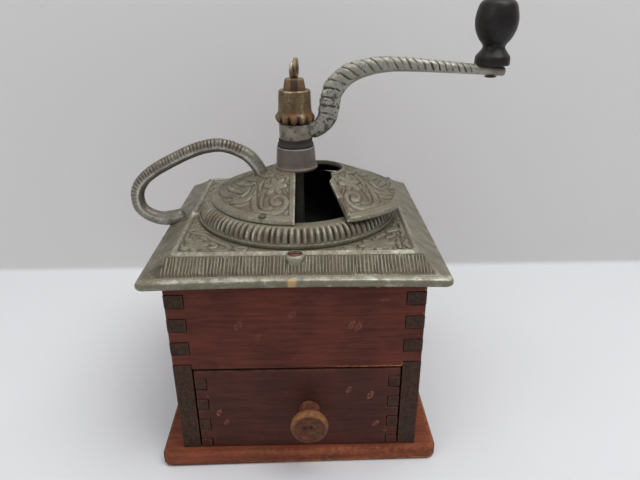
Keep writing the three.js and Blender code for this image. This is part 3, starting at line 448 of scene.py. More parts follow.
# grain: long streaks and fine pores along X, from noise stretched many times
def makeGrainGroup(g):
    tree, given, out = startGroup(
        "woodGrain",
        [("Place", "Vector", None), ("Streak", "Float", g["streak"]), ("Stretch", "Float", g["stretch"])],
        [("Streaks", "Float"), ("Pores", "Float"), ("Cloud", "Float")],
    )
    lengthShare = maths(tree, "DIVIDE", 1.0, given["Stretch"])
    shares = addNode(tree, "ShaderNodeCombineXYZ", {"X": lengthShare, "Y": 1.0, "Z": 1.0}).outputs[0]
    long = vectors(tree, "MULTIPLY", given["Place"], shares)
    frequency = maths(tree, "DIVIDE", 1.0, given["Streak"])
    broad = noise(tree, long, frequency, *g["broad"])
    fine = noise(tree, long, times(tree, frequency, g["fineFactor"]), *g["fine"])
    both = plus(tree, times(tree, broad, g["broadShare"]), times(tree, fine, g["fineShare"]))
    tree.links.new(remap(tree, both, *g["streakEnds"]), out["Streaks"])
    pores = noise(tree, long, times(tree, frequency, g["poreFactor"]), *g["pores"])
    tree.links.new(remap(tree, pores, *g["poreEnds"]), out["Pores"])
    tree.links.new(noise(tree, given["Place"], *g["cloud"]), out["Cloud"])
    return tree


# edge wear: its width in mm, the noise that makes it ragged and how that noise scales the width
edgeSizes = {"width": 1.5, "ragged": (0.35, 4.0, 0.7), "reach": (0.35, 0.75, 0.1, 2.0)}


# edge wear: the middle one of the three distances to a box's faces is the distance to its nearest edge
def makeEdgeGroup(e):
    tree, given, out = startGroup(
        "edgeWear",
        [("Place", "Vector", None), ("Low", "Vector", None), ("High", "Vector", None),
         ("Width", "Float", e["width"])],
        [("Mask", "Float")],
    )
    fromLow = vectors(tree, "SUBTRACT", given["Place"], given["Low"])
    fromHigh = vectors(tree, "SUBTRACT", given["High"], given["Place"])
    parts = split(tree, vectors(tree, "MINIMUM", fromLow, fromHigh))
    lower = maths(tree, "MINIMUM", parts[0], parts[1])
    upper = maths(tree, "MAXIMUM", parts[0], parts[1])
    middle = maths(tree, "MAXIMUM", lower, maths(tree, "MINIMUM", upper, parts[2]))
    ragged = noise(tree, given["Place"], *e["ragged"])
    reach = times(tree, given["Width"], remap(tree, ragged, *e["reach"]))
    within = maths(tree, "DIVIDE", middle, reach, clamp=True)
    tree.links.new(minus(tree, 1.0, within, clamp=True), out["Mask"])
    return tree


# a scuff: half width and half height in mm, its lean, the line round it, its faint inside and its gaps
scuffSizes = {
    "width": 2.0, "height": 3.5, "lean": 0.35, "lineAt": 0.85, "line": (0.02, 0.35, 1.0, 0.0), "lineShare": 0.6,
    "inside": (0.6, 1.1, 1.0, 0.0), "insideShare": 0.5, "ragged": (0.9, 3.0, 0.6), "broken": (0.38, 0.62, 0.05, 1.0),
}


# a scuff: a leaning oval on a board's front, faint inside and clearer where its share of its radii nears 1
def makeScuffGroup(s):
    tree, given, out = startGroup(
        "scuff",
        [("Place", "Vector", None), ("Middle", "Vector", None), ("Width", "Float", s["width"]),
         ("Height", "Float", s["height"])],
        [("Mask", "Float")],
    )
    parts = split(tree, vectors(tree, "SUBTRACT", given["Place"], given["Middle"]))
    leaning = minus(tree, parts[0], times(tree, parts[2], s["lean"]))
    across = maths(tree, "DIVIDE", leaning, given["Width"])
    up = maths(tree, "DIVIDE", parts[2], given["Height"])
    radius = maths(tree, "SQRT", plus(tree, times(tree, across, across), times(tree, up, up)))
    offLine = maths(tree, "ABSOLUTE", minus(tree, radius, s["lineAt"]))
    line = times(tree, remap(tree, offLine, *s["line"]), s["lineShare"])
    filled = times(tree, remap(tree, radius, *s["inside"]), s["insideShare"])
    broken = remap(tree, noise(tree, given["Place"], *s["ragged"]), *s["broken"])
    tree.links.new(times(tree, plus(tree, line, filled), broken, clamp=True), out["Mask"])
    return tree


# a sand-cast skin's turn against the axes in radians, and its noises: scale, detail, roughness, distortion
castSizes = {
    "turn": (0.5, 0.3, 0.9), "blotch": (0.11, 5.0, 0.62, 0.4), "blotchEnds": (0.34, 0.66),
    "grain": (0.7, 2.0, 0.6), "pits": (0.6, 1.0, 0.5), "pitEnds": (0.60, 0.72),
}


# cast skin: blotches, fine grain and pits of a sand-cast surface
def makeCastGroup(c):
    tree, given, out = startGroup(
        "castSkin",
        [("Place", "Vector", None), ("Size", "Float", 1.0)],
        [("Blotch", "Float"), ("Grain", "Float"), ("Pits", "Float")],
    )
    inputs = {"Vector": given["Place"], "Rotation": c["turn"]}
    turned = addNode(tree, "ShaderNodeVectorRotate", inputs, rotation_type="EULER_XYZ").outputs[0]
    place = scaled(tree, turned, maths(tree, "DIVIDE", 1.0, given["Size"]))
    tree.links.new(remap(tree, noise(tree, place, *c["blotch"]), *c["blotchEnds"]), out["Blotch"])
    tree.links.new(noise(tree, place, *c["grain"]), out["Grain"])
    tree.links.new(remap(tree, noise(tree, place, *c["pits"]), *c["pitEnds"]), out["Pits"])
    return tree


grainGroup = makeGrainGroup(grainSizes)
edgeGroup = makeEdgeGroup(edgeSizes)
scuffGroup = makeScuffGroup(scuffSizes)
castGroup = makeCastGroup(castSizes)


# an empty material: its node tree, its shader and the place on the piece in millimetres
def startMaterial(name):
    material = bpy.data.materials.new(name)
    material.use_nodes = True
    tree = material.node_tree
    tree.nodes.clear()
    shader = tree.nodes.new("ShaderNodeBsdfPrincipled")
    output = tree.nodes.new("ShaderNodeOutputMaterial")
    tree.links.new(shader.outputs[0], output.inputs[0])
    onPiece = addNode(tree, "ShaderNodeTexCoord").outputs["Object"]
    return material, tree, shader, scaled(tree, onPiece, float(perMetre))


def bumpFrom(tree, height, strength, distance):
    inputs = {"Height": height, "Strength": strength, "Distance": distance}
    return addNode(tree, "ShaderNodeBump", inputs).outputs[0]


def readMark(tree, name):
    return addNode(tree, "ShaderNodeAttribute", attribute_name=name).outputs["Fac"]


# what the boards have in common unless one says otherwise
plainWood = {
    "light": paint(108, 54, 42), "dark": paint(72, 36, 29), "shine": 0.18, "roughness": 0.6, "streak": 2.2,
    "wornEnd": None,
}
woodLooks = {
    "base": {
        **plainWood, "light": paint(140, 74, 50), "dark": paint(92, 48, 36), "worn": paint(174, 108, 62),
        "edge": paint(118, 68, 46), "edgeSpot": (-50.0, 20.0, 100.0), "wearWidth": 5.6, "wearShare": 0.42,
        "wornEnd": (-60.0, 30.0, 0.3, 1.3), "streak": 3.2,
    },
    "box": {
        **plainWood, "worn": paint(112, 74, 55), "edge": paint(84, 54, 42), "wearWidth": 0.8, "wearShare": 0.4,
    },
    "front": {
        **plainWood, "worn": paint(196, 126, 72), "edge": paint(84, 50, 39), "edgeSpot": (18.0, 30.0, 76.0),
        "wearWidth": 1.1, "wearShare": 0.9, "wornEnd": (24.0, 34.0, 0.12, 1.6),
    },
    "drawer": {
        **plainWood, "light": paint(88, 47, 38), "dark": paint(62, 34, 28), "worn": paint(142, 92, 62),
        "edge": paint(90, 56, 43), "wearWidth": 1.0, "wearShare": 0.45,
    },
}
# how streaks, clouds and pores add up, where roughness and bump come from, and how deep a scuff reaches in mm
woodShares = {
    "cloudEnds": (0.35, 0.66), "streaks": 0.55, "cloud": 0.45, "pores": 0.4, "rougher": 0.08, "smoother": 0.05,
    "streakHeight": 0.3, "bump": 0.25, "bumpDistance": 0.0003, "scuffFrom": 1.5, "scuffTo": 0.5,
}
endGrain = {
    "light": paint(76, 50, 38), "dark": paint(48, 36, 29), "facing": (0.6, 0.85), "speckle": (0.5, 4.0, 0.6),
    "speckleEnds": (0.35, 0.7),
}
scuffColour = paint(160, 104, 82)


# wood for one board: grain along an axis, dark end grain where the face looks along it, light worn edges, scuffs
def makeWood(name, look, along, low, high, scuffs=(), plainBelow=None):
    s = woodShares
    material, tree, shader, place = startMaterial(name)
    parts = split(tree, place)
    order = {"X": (0, 1, 2), "Y": (1, 0, 2), "Z": (2, 0, 1)}[along]
    turned = {label: parts[axis] for label, axis in zip("XYZ", order)}
    alongGrain = addNode(tree, "ShaderNodeCombineXYZ", turned).outputs[0]
    grain = placeGroup(tree, grainGroup, Place=alongGrain, Streak=look["streak"])
    cloud = remap(tree, grain["Cloud"], *s["cloudEnds"])
    tone = plus(tree, times(tree, grain["Streaks"], s["streaks"]), times(tree, cloud, s["cloud"]))
    colour = mixColour(tree, tone, look["dark"], look["light"])
    colour = mixColour(tree, times(tree, grain["Pores"], s["pores"]), colour, look["dark"])
    facing = split(tree, addNode(tree, "ShaderNodeTexCoord").outputs["Normal"])["XYZ".index(along)]
    ends = remap(tree, maths(tree, "ABSOLUTE", facing), *endGrain["facing"])
    if plainBelow is not None:
        ends = times(tree, ends, remap(tree, parts[2], plainBelow - 1, plainBelow + 1))
    speckle = remap(tree, noise(tree, place, *endGrain["speckle"]), *endGrain["speckleEnds"])
    colour = mixColour(tree, ends, colour, mixColour(tree, speckle, endGrain["dark"], endGrain["light"]))
    wear = placeGroup(tree, edgeGroup, Place=place, Low=low, High=high, Width=look["wearWidth"])["Mask"]
    wear = times(tree, wear, look["wearShare"])
    if look["wornEnd"]:
        wear = times(tree, wear, remap(tree, parts[0], *look["wornEnd"]), clamp=True)
    colour = mixColour(tree, wear, colour, look["worn"])
    onFront = remap(tree, parts[1], low[1] + s["scuffFrom"], low[1] + s["scuffTo"])
    for x, z, width, height, share in scuffs:
        middle = (x, low[1], z)
        mask = placeGroup(tree, scuffGroup, Place=place, Middle=middle, Width=width, Height=height)["Mask"]
        colour = mixColour(tree, times(tree, times(tree, mask, onFront), share), colour, scuffColour)
    rough = look["roughness"]
    height = minus(tree, times(tree, grain["Streaks"], s["streakHeight"]), grain["Pores"])
    feed(tree, shader, {
        "Base Color": colour,
        "Roughness": remap(tree, grain["Streaks"], 0.0, 1.0, rough + s["rougher"], rough - s["smoother"]),
        "Specular IOR Level": look["shine"],
        "Normal": bumpFrom(tree, height, s["bump"], s["bumpDistance"]),
    })
    return material


# a softened edge's ragged noise and how it ends, its last value is the share of edge colour
edgeRagged = {"noise": (0.16, 5.0, 0.65), "ends": (0.32, 0.62, 0.1, 1.0)}


# the rubbed wood of a softened edge: its worn and dark colours by ragged noise
def makeWornWood(name, look):
    material, tree, shader, place = startMaterial(name)
    ragged = remap(tree, noise(tree, place, *edgeRagged["noise"]), *edgeRagged["ends"])
    edge = look["edge"]
    if "edgeSpot" in look:
        fromX, toX, belowZ = look["edgeSpot"]
        parts = split(tree, place)
        below = remap(tree, parts[2], belowZ, belowZ + 1, 1.0, 0.0)
        edge = mixColour(tree, times(tree, remap(tree, parts[0], fromX, toX), below), edge, look["worn"])
    feed(tree, shader, {
        "Base Color": mixColour(tree, ragged, look["dark"], edge),
        "Roughness": look["roughness"],
        "Specular IOR Level": look["shine"],
    })
    return material


# what the metals and the washer's leather have in common unless one says otherwise
plainIron = {"deep": paint(17, 16, 15), "size": 1.0, "tintShare": 0.5}
ironLooks = {
    "castIron": {
        **plainIron, "crevice": paint(58, 50, 39), "skin": paint(124, 120, 102), "bright": paint(184, 182, 168),
        "tint": paint(108, 97, 79), "rust": paint(94, 70, 55), "chip": paint(182, 152, 108),
        "mottle": 0.7, "metal": 0.35, "roughness": 0.46, "pits": 0.22,
    },
    "collarIron": {
        **plainIron, "crevice": paint(78, 70, 64), "skin": paint(112, 102, 95), "bright": paint(176, 170, 162),
        "tint": paint(96, 86, 80), "rust": paint(106, 78, 60),
        "mottle": 0.3, "metal": 0.4, "roughness": 0.42, "pits": 0.15,
    },
    "crankIron": {
        **plainIron, "crevice": paint(50, 46, 38), "skin": paint(160, 158, 146), "bright": paint(214, 213, 204),
        "tint": paint(132, 128, 115), "rust": paint(108, 84, 66),
        "size": 0.8, "mottle": 0.8, "metal": 0.45, "roughness": 0.42, "pits": 0.4,
    },
    "handleIron": {
        **plainIron, "crevice": paint(56, 50, 42), "skin": paint(132, 128, 114), "bright": paint(206, 205, 198),
        "tint": paint(108, 98, 86), "rust": paint(84, 66, 58),
        "size": 0.8, "mottle": 0.6, "metal": 0.5, "roughness": 0.38, "pits": 0.3,
    },
    "innerIron": {
        **plainIron, "crevice": paint(34, 31, 28), "skin": paint(74, 70, 65), "bright": paint(118, 114, 106),
        "tint": paint(66, 54, 44), "tintShare": 0.6,
        "size": 1.2, "mottle": 0.6, "metal": 0.4, "roughness": 0.6, "pits": 0.5,
    },
    "steel": {
        **plainIron, "crevice": paint(58, 52, 45), "skin": paint(102, 97, 88), "bright": paint(150, 147, 138),
        "tint": paint(82, 73, 62),
        "size": 0.6, "mottle": 0.5, "metal": 0.5, "roughness": 0.5, "pits": 0.3,
    },
    "rustySteel": {
        **plainIron, "crevice": paint(52, 36, 28), "skin": paint(104, 72, 54), "bright": paint(150, 116, 92),
        "tint": paint(84, 54, 40), "tintShare": 0.6,
        "size": 0.5, "mottle": 0.8, "metal": 0.3, "roughness": 0.65, "pits": 0.5,
    },
    "agedBrass": {
        **plainIron, "crevice": paint(44, 33, 23), "skin": paint(118, 100, 72), "bright": paint(192, 178, 146),
        "tint": paint(88, 68, 42), "tintShare": 0.75, "rust": paint(132, 82, 48), "deep": paint(30, 23, 18),
        "size": 0.7, "mottle": 0.9, "metal": 0.45, "roughness": 0.44, "pits": 0.4,
    },
    "leather": {
        **plainIron, "crevice": paint(20, 19, 19), "skin": paint(46, 43, 40), "bright": paint(74, 70, 66),
        "tint": paint(38, 35, 33), "tintShare": 0.4, "rust": paint(60, 52, 46),
        "size": 0.6, "mottle": 0.5, "metal": 0.0, "roughness": 0.7, "pits": 0.3,
    },
}
# where relief leads from crevice to skin and from skin to bright, how grain breaks the rust, and the bump
ironShares = {
    "toSkin": (0.02, 0.45), "toBright": (0.6, 1.0), "rusty": (0.35, 0.6, 0.5, 1.0), "smoother": 0.05,
    "rougher": 0.12, "grainHeight": 0.6, "pitDepth": 0.7, "bump": 0.4, "bumpDistance": 0.0002,
}


# metal: the relief mark leads from crevice, which is dirt in hollows and in places painted shade, by skin to
# bright, which is rubbed metal and in places a painted highlight; stain leads to rust, and the painted shade
# mark to near black
def makeIron(name, look, marked=True):
    s = ironShares
    material, tree, shader, place = startMaterial(name)
    skin = placeGroup(tree, castGroup, Place=place, Size=look["size"])
    mottle = times(tree, minus(tree, skin["Grain"], 0.5), look["mottle"])
    relief = plus(tree, readMark(tree, "relief") if marked else plainMarks["relief"], mottle)
    colour = mixColour(tree, remap(tree, relief, *s["toSkin"]), look["crevice"], look["skin"])
    colour = mixColour(tree, remap(tree, relief, *s["toBright"]), colour, look["bright"])
    colour = mixColour(tree, times(tree, skin["Blotch"], look["tintShare"]), colour, look["tint"])
    colour = mixColour(tree, times(tree, skin["Pits"], look["pits"]), colour, look["crevice"])
    if marked:
        rusty = times(tree, readMark(tree, "stain"), remap(tree, skin["Grain"], *s["rusty"]))
        colour = mixColour(tree, rusty, colour, look["rust"])
        colour = mixColour(tree, readMark(tree, "deep"), colour, look["deep"])
        if "chip" in look:
            colour = mixColour(tree, readMark(tree, "chip"), colour, look["chip"])
    rough = look["roughness"]
    height = minus(tree, times(tree, skin["Grain"], s["grainHeight"]), times(tree, skin["Pits"], s["pitDepth"]))
    feed(tree, shader, {
        "Base Color": colour,
        "Metallic": look["metal"],
        "Roughness": remap(tree, skin["Blotch"], 0.0, 1.0, rough - s["smoother"], rough + s["rougher"]),
        "Normal": bumpFrom(tree, height, s["bump"], s["bumpDistance"]),
    })
    return material


# finishes that follow a mesh's marks, and those of the solids, which have none
markedNames = ("castIron", "collarIron", "crankIron", "handleIron", "agedBrass", "leather")
finishes = {name: makeIron(name, ironLooks[name]) for name in markedNames}
plainNames = ("castIron", "innerIron", "steel", "rustySteel")
plainFinishes = {name: makeIron(name + "Plain", ironLooks[name], False) for name in plainNames}

knobLooks = {
    "black": {
        "dark": paint(16, 14, 13), "light": paint(30, 26, 24), "worn": paint(58, 50, 44),
        "roughness": 0.36, "streak": 1.6, "shine": 0.3,
    },
    "tan": {
        "dark": paint(72, 40, 28), "light": paint(106, 62, 42), "worn": paint(154, 106, 66),
        "roughness": 0.56, "streak": 1.4, "shine": 0.2,
    },
}
turnedShares = {
    "stretch": 3.0, "ragged": (0.4, 4.0, 0.6), "raggedEnds": (0.3, 0.65, 0.3, 1.0), "deep": paint(30, 22, 19),
    "cloudEnds": (0.3, 0.7), "smoother": 0.06, "rougher": 0.1, "bump": 0.15, "bumpDistance": 0.0002,
}


# turned wood: streaks round the piece, rubbed to a lighter colour where the worn mark says, and painted dark as
# shade where the painted shade mark says
def makeTurnedWood(name, look):
    s = turnedShares
    material, tree, shader, place = startMaterial(name)
    grain = placeGroup(tree, grainGroup, Place=place, Streak=look["streak"], Stretch=s["stretch"])
    colour = mixColour(tree, grain["Streaks"], look["dark"], look["light"])
    ragged = remap(tree, noise(tree, place, *s["ragged"]), *s["raggedEnds"])
    colour = mixColour(tree, times(tree, readMark(tree, "worn"), ragged), colour, look["worn"])
    colour = mixColour(tree, readMark(tree, "deep"), colour, s["deep"])
    rough = look["roughness"]
    feed(tree, shader, {
        "Base Color": colour,
        "Roughness": remap(tree, grain["Cloud"], *s["cloudEnds"], rough - s["smoother"], rough + s["rougher"]),
        "Specular IOR Level": look["shine"],
        "Normal": bumpFrom(tree, grain["Streaks"], s["bump"], s["bumpDistance"]),
    })
    return material


blackWood = makeTurnedWood("blackWood", knobLooks["black"])
knobWood = makeTurnedWood("knobWood", knobLooks["tan"])
print("materials made")
# several sizes of smooth noise added up, each given by its size, seed and height
def uneven(points, layers):
    return sum(lumps(points, size, seed) * height for size, seed, height in layers)


flattened = (1, 1, 0.2)  # the place's shares by which a stain's noise reaches down without changing


# levels and outlines of the cast top plate
plateSizes = {
    "bottom": 130.0, "rimTop": 135.4, "panelTop": 144.6, "halfWidth": 89.5, "halfDepth": 88.75, "corner": 4.0,
    "panelHalfWidth": 71.75, "panelHalfDepth": 71.25, "ridgeWidth": 3.0, "ridgeHeight": 1.1, "ridgeRound": 1.3,
    "lip": 2.4, "underLip": [(0, 2.0), (0.3, 1.1), (0.9, 0.4), (1.8, 0)],  # inset, height over the bottom
    "holeRadius": 57.6, "flangeRadius": 67.3, "flangeFade": 0.8, "panelFade": 2.0, "panelThickness": 3.5,
    "pocketHalfWidth": 64.5, "pocketHalfDepth": 70.5, "pocketCorner": 1.0,
    "columns": 840, "panelRows": 72, "panelStart": 0.03, "ridgeRows": 9, "slopeRows": 10, "lipRows": 8,
    "reliefHeight": 1.0, "ornamentSeed": 41, "lumps": [(7.0, 3, 0.08), (2.6, 5, 0.03)],
    "frontSag": 1.3, "sagFrom": 76, "sagTo": 87, "screwSink": 1.6, "screwInner": 3.2, "screwOuter": 4.4,
    "bossY": 73.05, "bossRadius": 5.4, "bossTop": 145.7, "bossSides": 48, "glintNarrow": 6,
    "boss": [  # outward from its radius, up from its top, relief, share of the glint on its front, stain
        (-4.6, -13.3, 0.2, 0, 0), (0.4, -13.3, 0.3, 0, 0), (0.4, -2.9, 0.6, 1, 0.2), (0.1, -1.3, 0.8, 1, 0.1),
        (-0.5, -0.3, 0.8, 1, 0), (-1.1, 0, 0.6, 0, 0.2), (-1.5, -0.4, 0.2, 0, 0.9), (-1.6, -2.5, 0.1, 0, 0.9),
        (-4.6, -2.6, 0.1, 0, 0.9),
    ],
}
# the plate's marks: plain ground, ridge with painted shade at its foot, the lip's upper half painted light as a
# highlight and its lower half and underside painted dark as shade, both lighter at the front as a painted
# highlight and with patches, painted shade on the left slope and in the pocket, the tip's painted highlight and
# the hole's painted shade, and stains
plateRelief = {
    "plain": 0.42, "plainLumps": [(6.0, 6, 0.12)], "ridge": 0.76, "ridgeFootShade": 0.8, "footWidth": 0.8,
    "frontFrom": 80, "frontTo": 86, "patches": (4.0, 7), "lip": (0.52, 0.36, 0.25), "under": (0.36, 0.2, 0.3),
    "leftFrom": -70, "leftTo": -74, "leftPaintedShade": 0.14, "pocketShade": 0.8, "tip": 1.1, "hole": -0.3,
    "pit": 0.7, "pitFlat": 0.35, "stain": 0.35, "stainEnds": (0.1, 0.7), "stains": (13.0, 61),
}

# scrolls, leaves and rosettes of the plate's left and right front corners; the back corners mirror them
plateStrokes = [
    ([(-64.1, -40.6), (-57.4, -42.8), (-50.5, -50.8), (-43.5, -56.6), (-38.9, -62.1), (-42.3, -67.3),
      (-48.2, -65.4)],
     [1.2, 1.9, 1.8, 1.8, 1.8, 1.6, 1.3]),
    ([(-35.3, -64), (-31.1, -68.0), (-28.7, -64.4)], [1.5, 1.6, 1.3]),
    ([(-67.7, -36.4), (-62.2, -33.5), (-58.8, -34.7)], [1.4, 1.7, 0.9]),
    ([(-67.4, -47.5), (-67.0, -41.5)], [1.7, 1.3]),
    ([(-57.6, -47.2), (-54.8, -50.6)], [1.7, 1.3]),
    ([(-50.2, -55.8), (-47.0, -60.4), (-50.2, -62.6)], [1.6, 1.7, 1.1]),
    ([(-68.4, -54.8), (-67.6, -59.6)], [1.2, 1.4]),
    ([(-61.2, -38.2), (-55.4, -38.6), (-52.6, -42.4)], [0.9, 1.5, 0.9]),
    *petals((-61.0, -57.0), [(-65.3, -63.1), (-59, -65.4), (-53.9, -62.6), (-53.7, -57.2), (-58, -52.4),
                             (-65.1, -50.3)], 3.0),
    ([(65.4, -48.7), (67, -43.8), (64.2, -38.7), (57.3, -41.5)], [1.4, 1.9, 1.8, 1.2]),
    ([(68.0, -66.0), (65.5, -60.0), (67.8, -54.0)], [1.3, 1.9, 1.2]),
    ([(67.1, -36.4), (67.1, -30.4)], [1.7, 1.2]),
    ([(34.5, -66.5), (30.0, -67.5)], [1.6, 1.1]),
    ([(61.8, -65.6), (61.4, -59.0), (62.4, -53.4)], [1.1, 1.7, 1.0]),
    ([(56.2, -50.6), (60.4, -47.8), (60.8, -43.6)], [1.2, 1.7, 1.0]),
    ([(50.2, -49.6), (54.6, -46.4)], [1.6, 1.3]),
    *petals((49.0, -60.0), [(39.4, -61.9), (42.1, -56.5), (48.4, -53.9), (54.7, -54.1), (57.7, -58.1),
                            (55.4, -65.0), (49.2, -66.6), (42.2, -66.5)], 2.9),
]

# small marks: the left border's raised tip, painted bright as a highlight, and its sunk hole, painted dark as
# shade, each x, y, radius, lift and how wide; pits, each x, y and radius; and the tan chip on the front lip
plateMarks = {
    "spots": [(-68.2, -9.8, 2.9, 2.0, 1.6), (-75.6, -10.5, 2.4, -1.8, 1.0)],
    "pits": [(-75.4, -80.2, 4.2), (72.2, -75.6, 1.9), (-68.5, 9.0, 1.9), (-71.8, -75.2, 2.2)],
    "chip": {"x": -1.6, "half": 2.4, "soft": 0.5, "front": (86.8, 87.6), "above": (131.2, 132)},
}


# the reach of a rounded rectangle in a direction: a straight side's, or the corner arc's by the ray and
# circle sum
def rectangleReach(angle, halfWidth, halfDepth, corner):
    c, s = np.abs(np.cos(angle)), np.abs(np.sin(angle))
    straight = np.minimum(halfWidth / np.maximum(c, 1e-9), halfDepth / np.maximum(s, 1e-9))
    middleX, middleY = halfWidth - corner, halfDepth - corner
    inCorner = (straight * c > middleX) & (straight * s > middleY)
    along = middleX * c + middleY * s
    arc = along + np.sqrt(np.maximum(corner ** 2 - (middleX ** 2 + middleY ** 2 - along ** 2), 0))
    return np.where(inCorner, arc, straight)


# how far the plate's front lip has warped up: a low arch along x that fades in behind the lip
def lipWarp(x, y):
    p = plateSizes
    arch = 1 - np.clip(np.abs(x) / p["halfWidth"], 0, 1) ** 2
    return p["frontSag"] * arch * ramp(p["sagFrom"], p["sagTo"], -y)


# the plate's rings about the middle: hole, relief panel, ridge, slope, rounded lip, underside and pocket; gives
# the radius by ring and direction, each ring's height, and where the panel and the lip end
def plateRings(p, angle):
    def panel(inset):
        return rectangleReach(angle, p["panelHalfWidth"] - inset, p["panelHalfDepth"] - inset, p["corner"])

    def outer(inset):
        return rectangleReach(angle, p["halfWidth"] - inset, p["halfDepth"] - inset, p["corner"])

    hole, underPanel = np.full(angle.shape, p["holeRadius"]), p["panelTop"] - p["panelThickness"]
    rings = [(hole, underPanel), (hole, p["panelTop"])]
    for share in np.linspace(p["panelStart"], 1, p["panelRows"]):
        rings.append((lerp(p["holeRadius"], panel(p["ridgeWidth"]), share), p["panelTop"]))
    panelEnd = len(rings)
    for share in np.linspace(0, 1, p["ridgeRows"])[1:]:
        rise = p["ridgeHeight"] * math.sin(math.pi * share) ** p["ridgeRound"]
        rings.append((panel(p["ridgeWidth"] * (1 - share)), p["panelTop"] + rise))
    for share in np.linspace(0, 1, p["slopeRows"])[1:]:
        rings.append((lerp(panel(0), outer(p["lip"]), share), lerp(p["panelTop"], p["rimTop"], share)))
    for share in np.linspace(0, 1, p["lipRows"])[1:]:
        bend = share * math.pi / 2
        rings.append((outer(p["lip"] * (1 - math.sin(bend))), p["rimTop"] - p["lip"] * (1 - math.cos(bend))))
    lipEnd = len(rings)
    rings += [(outer(inset), p["bottom"] + up) for inset, up in p["underLip"]]
    pocket = rectangleReach(angle, p["pocketHalfWidth"], p["pocketHalfDepth"], p["pocketCorner"])
    rings += [(pocket, p["bottom"]), (pocket, underPanel)]
    radius, height = (np.array(values) for values in zip(*rings))
    return radius, height[:, None] + 0 * radius, panel(p["ridgeWidth"]) - radius, panelEnd, lipEnd


# the plate's two bosses: a rounded disc with a sunk middle, its front painted brighter as a highlight
def plateBosses(p):
    out, up, relief, glint, stain = (np.array(p["boss"])[:, [column]] for column in range(5))
    facing = np.clip(-np.sin(circle(p["bossSides"])), 0, 1) ** p["glintNarrow"]
    profile = np.hstack([p["bossRadius"] + out, p["bossTop"] + up])
    marks = {"relief": relief + glint * facing, "stain": stain}
    return [turnedShell(profile, p["bossSides"], 0, side * p["bossY"], **marks) for side in (-1, 1)]


# the plate: its rings with the ornament, the warped lip, uneven skin, small marks and the two bosses
def makePlate(p):
    m = plateRelief
    turn = np.arange(p["columns"]) / p["columns"] * 4
    side = np.floor(turn)
    angle = side * math.pi / 2 + np.arctan((turn - side) * 2 - 1)
    radius, height, insidePanel, panelEnd, lipEnd = plateRings(p, angle)
    x, y = radius * np.cos(angle), radius * np.sin(angle)
    raised, relief = ornament(x, y, plateStrokes, p["ornamentSeed"])
    inPanel, top = np.zeros(x.shape), np.zeros(x.shape)
    inPanel[2:panelEnd] = 1
    top[2:lipEnd] = 1
    clearOfFlange = ramp(p["flangeRadius"], p["flangeRadius"] + p["flangeFade"], radius)
    ornate = inPanel * clearOfFlange * ramp(0, p["panelFade"], insidePanel)
    points = np.stack([x, y, height + raised * ornate * p["reliefHeight"] + lipWarp(x, y)], -1)
    points[..., 2] += uneven(points, p["lumps"]) * top * clearOfFlange
    fromScrew = np.hypot(x, np.abs(y) - p["bossY"])
    points[..., 2] -= p["screwSink"] * fall(p["screwInner"], p["screwOuter"], fromScrew) * top
    relief = lerp(m["plain"] + uneven(points, m["plainLumps"]), relief, ornate)
    # painted shade along the ridge's foot, inside the panel
    relief = relief * (1 - m["ridgeFootShade"] * bell(insidePanel, m["footWidth"]) * inPanel)
    relief[panelEnd:panelEnd + p["ridgeRows"] - 1] = m["ridge"]
    front, patchy = ramp(m["frontFrom"], m["frontTo"], -y), lumps(points, *m["patches"])
    lipStart = lipEnd - p["lipRows"]
    lipMiddle = lipStart + p["lipRows"] // 2
    # the lip's upper half painted light as a highlight, its lower half and the underside painted dark as shade, both
    # lighter toward the front as a painted highlight, with random patches
    for rows, part in ((slice(lipStart, lipMiddle), "lip"), (slice(lipMiddle, None), "under")):
        plain, byFront, byPatch = m[part]
        relief[rows] = (plain + byFront * front + byPatch * patchy)[rows]
    # painted shade on the left slope
    relief -= m["leftPaintedShade"] * ramp(m["leftFrom"], m["leftTo"], x) * top
    # the raised tip painted bright as a highlight and the sunk hole painted dark as shade
    for spotX, spotY, spotRadius, lift, wide in plateMarks["spots"]:
        spot = fall(0.5 * spotRadius, spotRadius, np.hypot((x - spotX) / wide, y - spotY))
        points[..., 2] += lift * spot * top
        relief = lerp(relief, m["tip"] if lift > 0 else m["hole"], spot * top)
    for pitX, pitY, pitRadius in plateMarks["pits"]:
        relief -= m["pit"] * fall(m["pitFlat"] * pitRadius, pitRadius, np.hypot(x - pitX, y - pitY)) * top
    # the pocket under the plate painted dark as shade
    deep = np.zeros(x.shape)
    deep[-2:] = m["pocketShade"]
    stain = m["stain"] * ramp(*m["stainEnds"], lumps(points * flattened, *m["stains"])) * inPanel
    c = plateMarks["chip"]
    chip = fall(c["half"] - c["soft"], c["half"] + c["soft"], np.abs(x - c["x"]))
    chip = chip * ramp(*c["front"], -y) * ramp(*c["above"], points[..., 2])
    shell = gridShell(points, rowsLoop=True, relief=relief, deep=deep, stain=stain, chip=chip)
    makePiece("plate", [shell, *plateBosses(p)], "case", finishes["castIron"], ["top_plate"])
    print("plate made")


bandSizes = {
    "pitch": 1.97, "height": 0.6, "topY": 72.2, "bottomY": 84.6, "topLeft": -73.5, "topRight": 74.0,
    "bottomLeft": -77.5, "bottomRight": 79.5, "columns": 1000, "rows": 40, "sink": 0.9, "clear": 0.04,
    "downStretch": 2.5, "wander": [(3.4, 11, 0.45), (11.0, 12, 0.5)], "strength": 0.85,
    "strengthLumps": [(2.6, 13, 0.4)], "leastStrength": 0.35, "trough": (-0.9, 0.75), "endShare": 0.008,
    "topFade": 0.1, "bottomFade": 0.86, "skin": [(1.1, 14, 0.05)],
    "shade": {"trough": -0.10, "rib": 0.54, "glint": 0.12, "glints": (1.7, 15), "foot": 0.3, "end": 0.1},
}


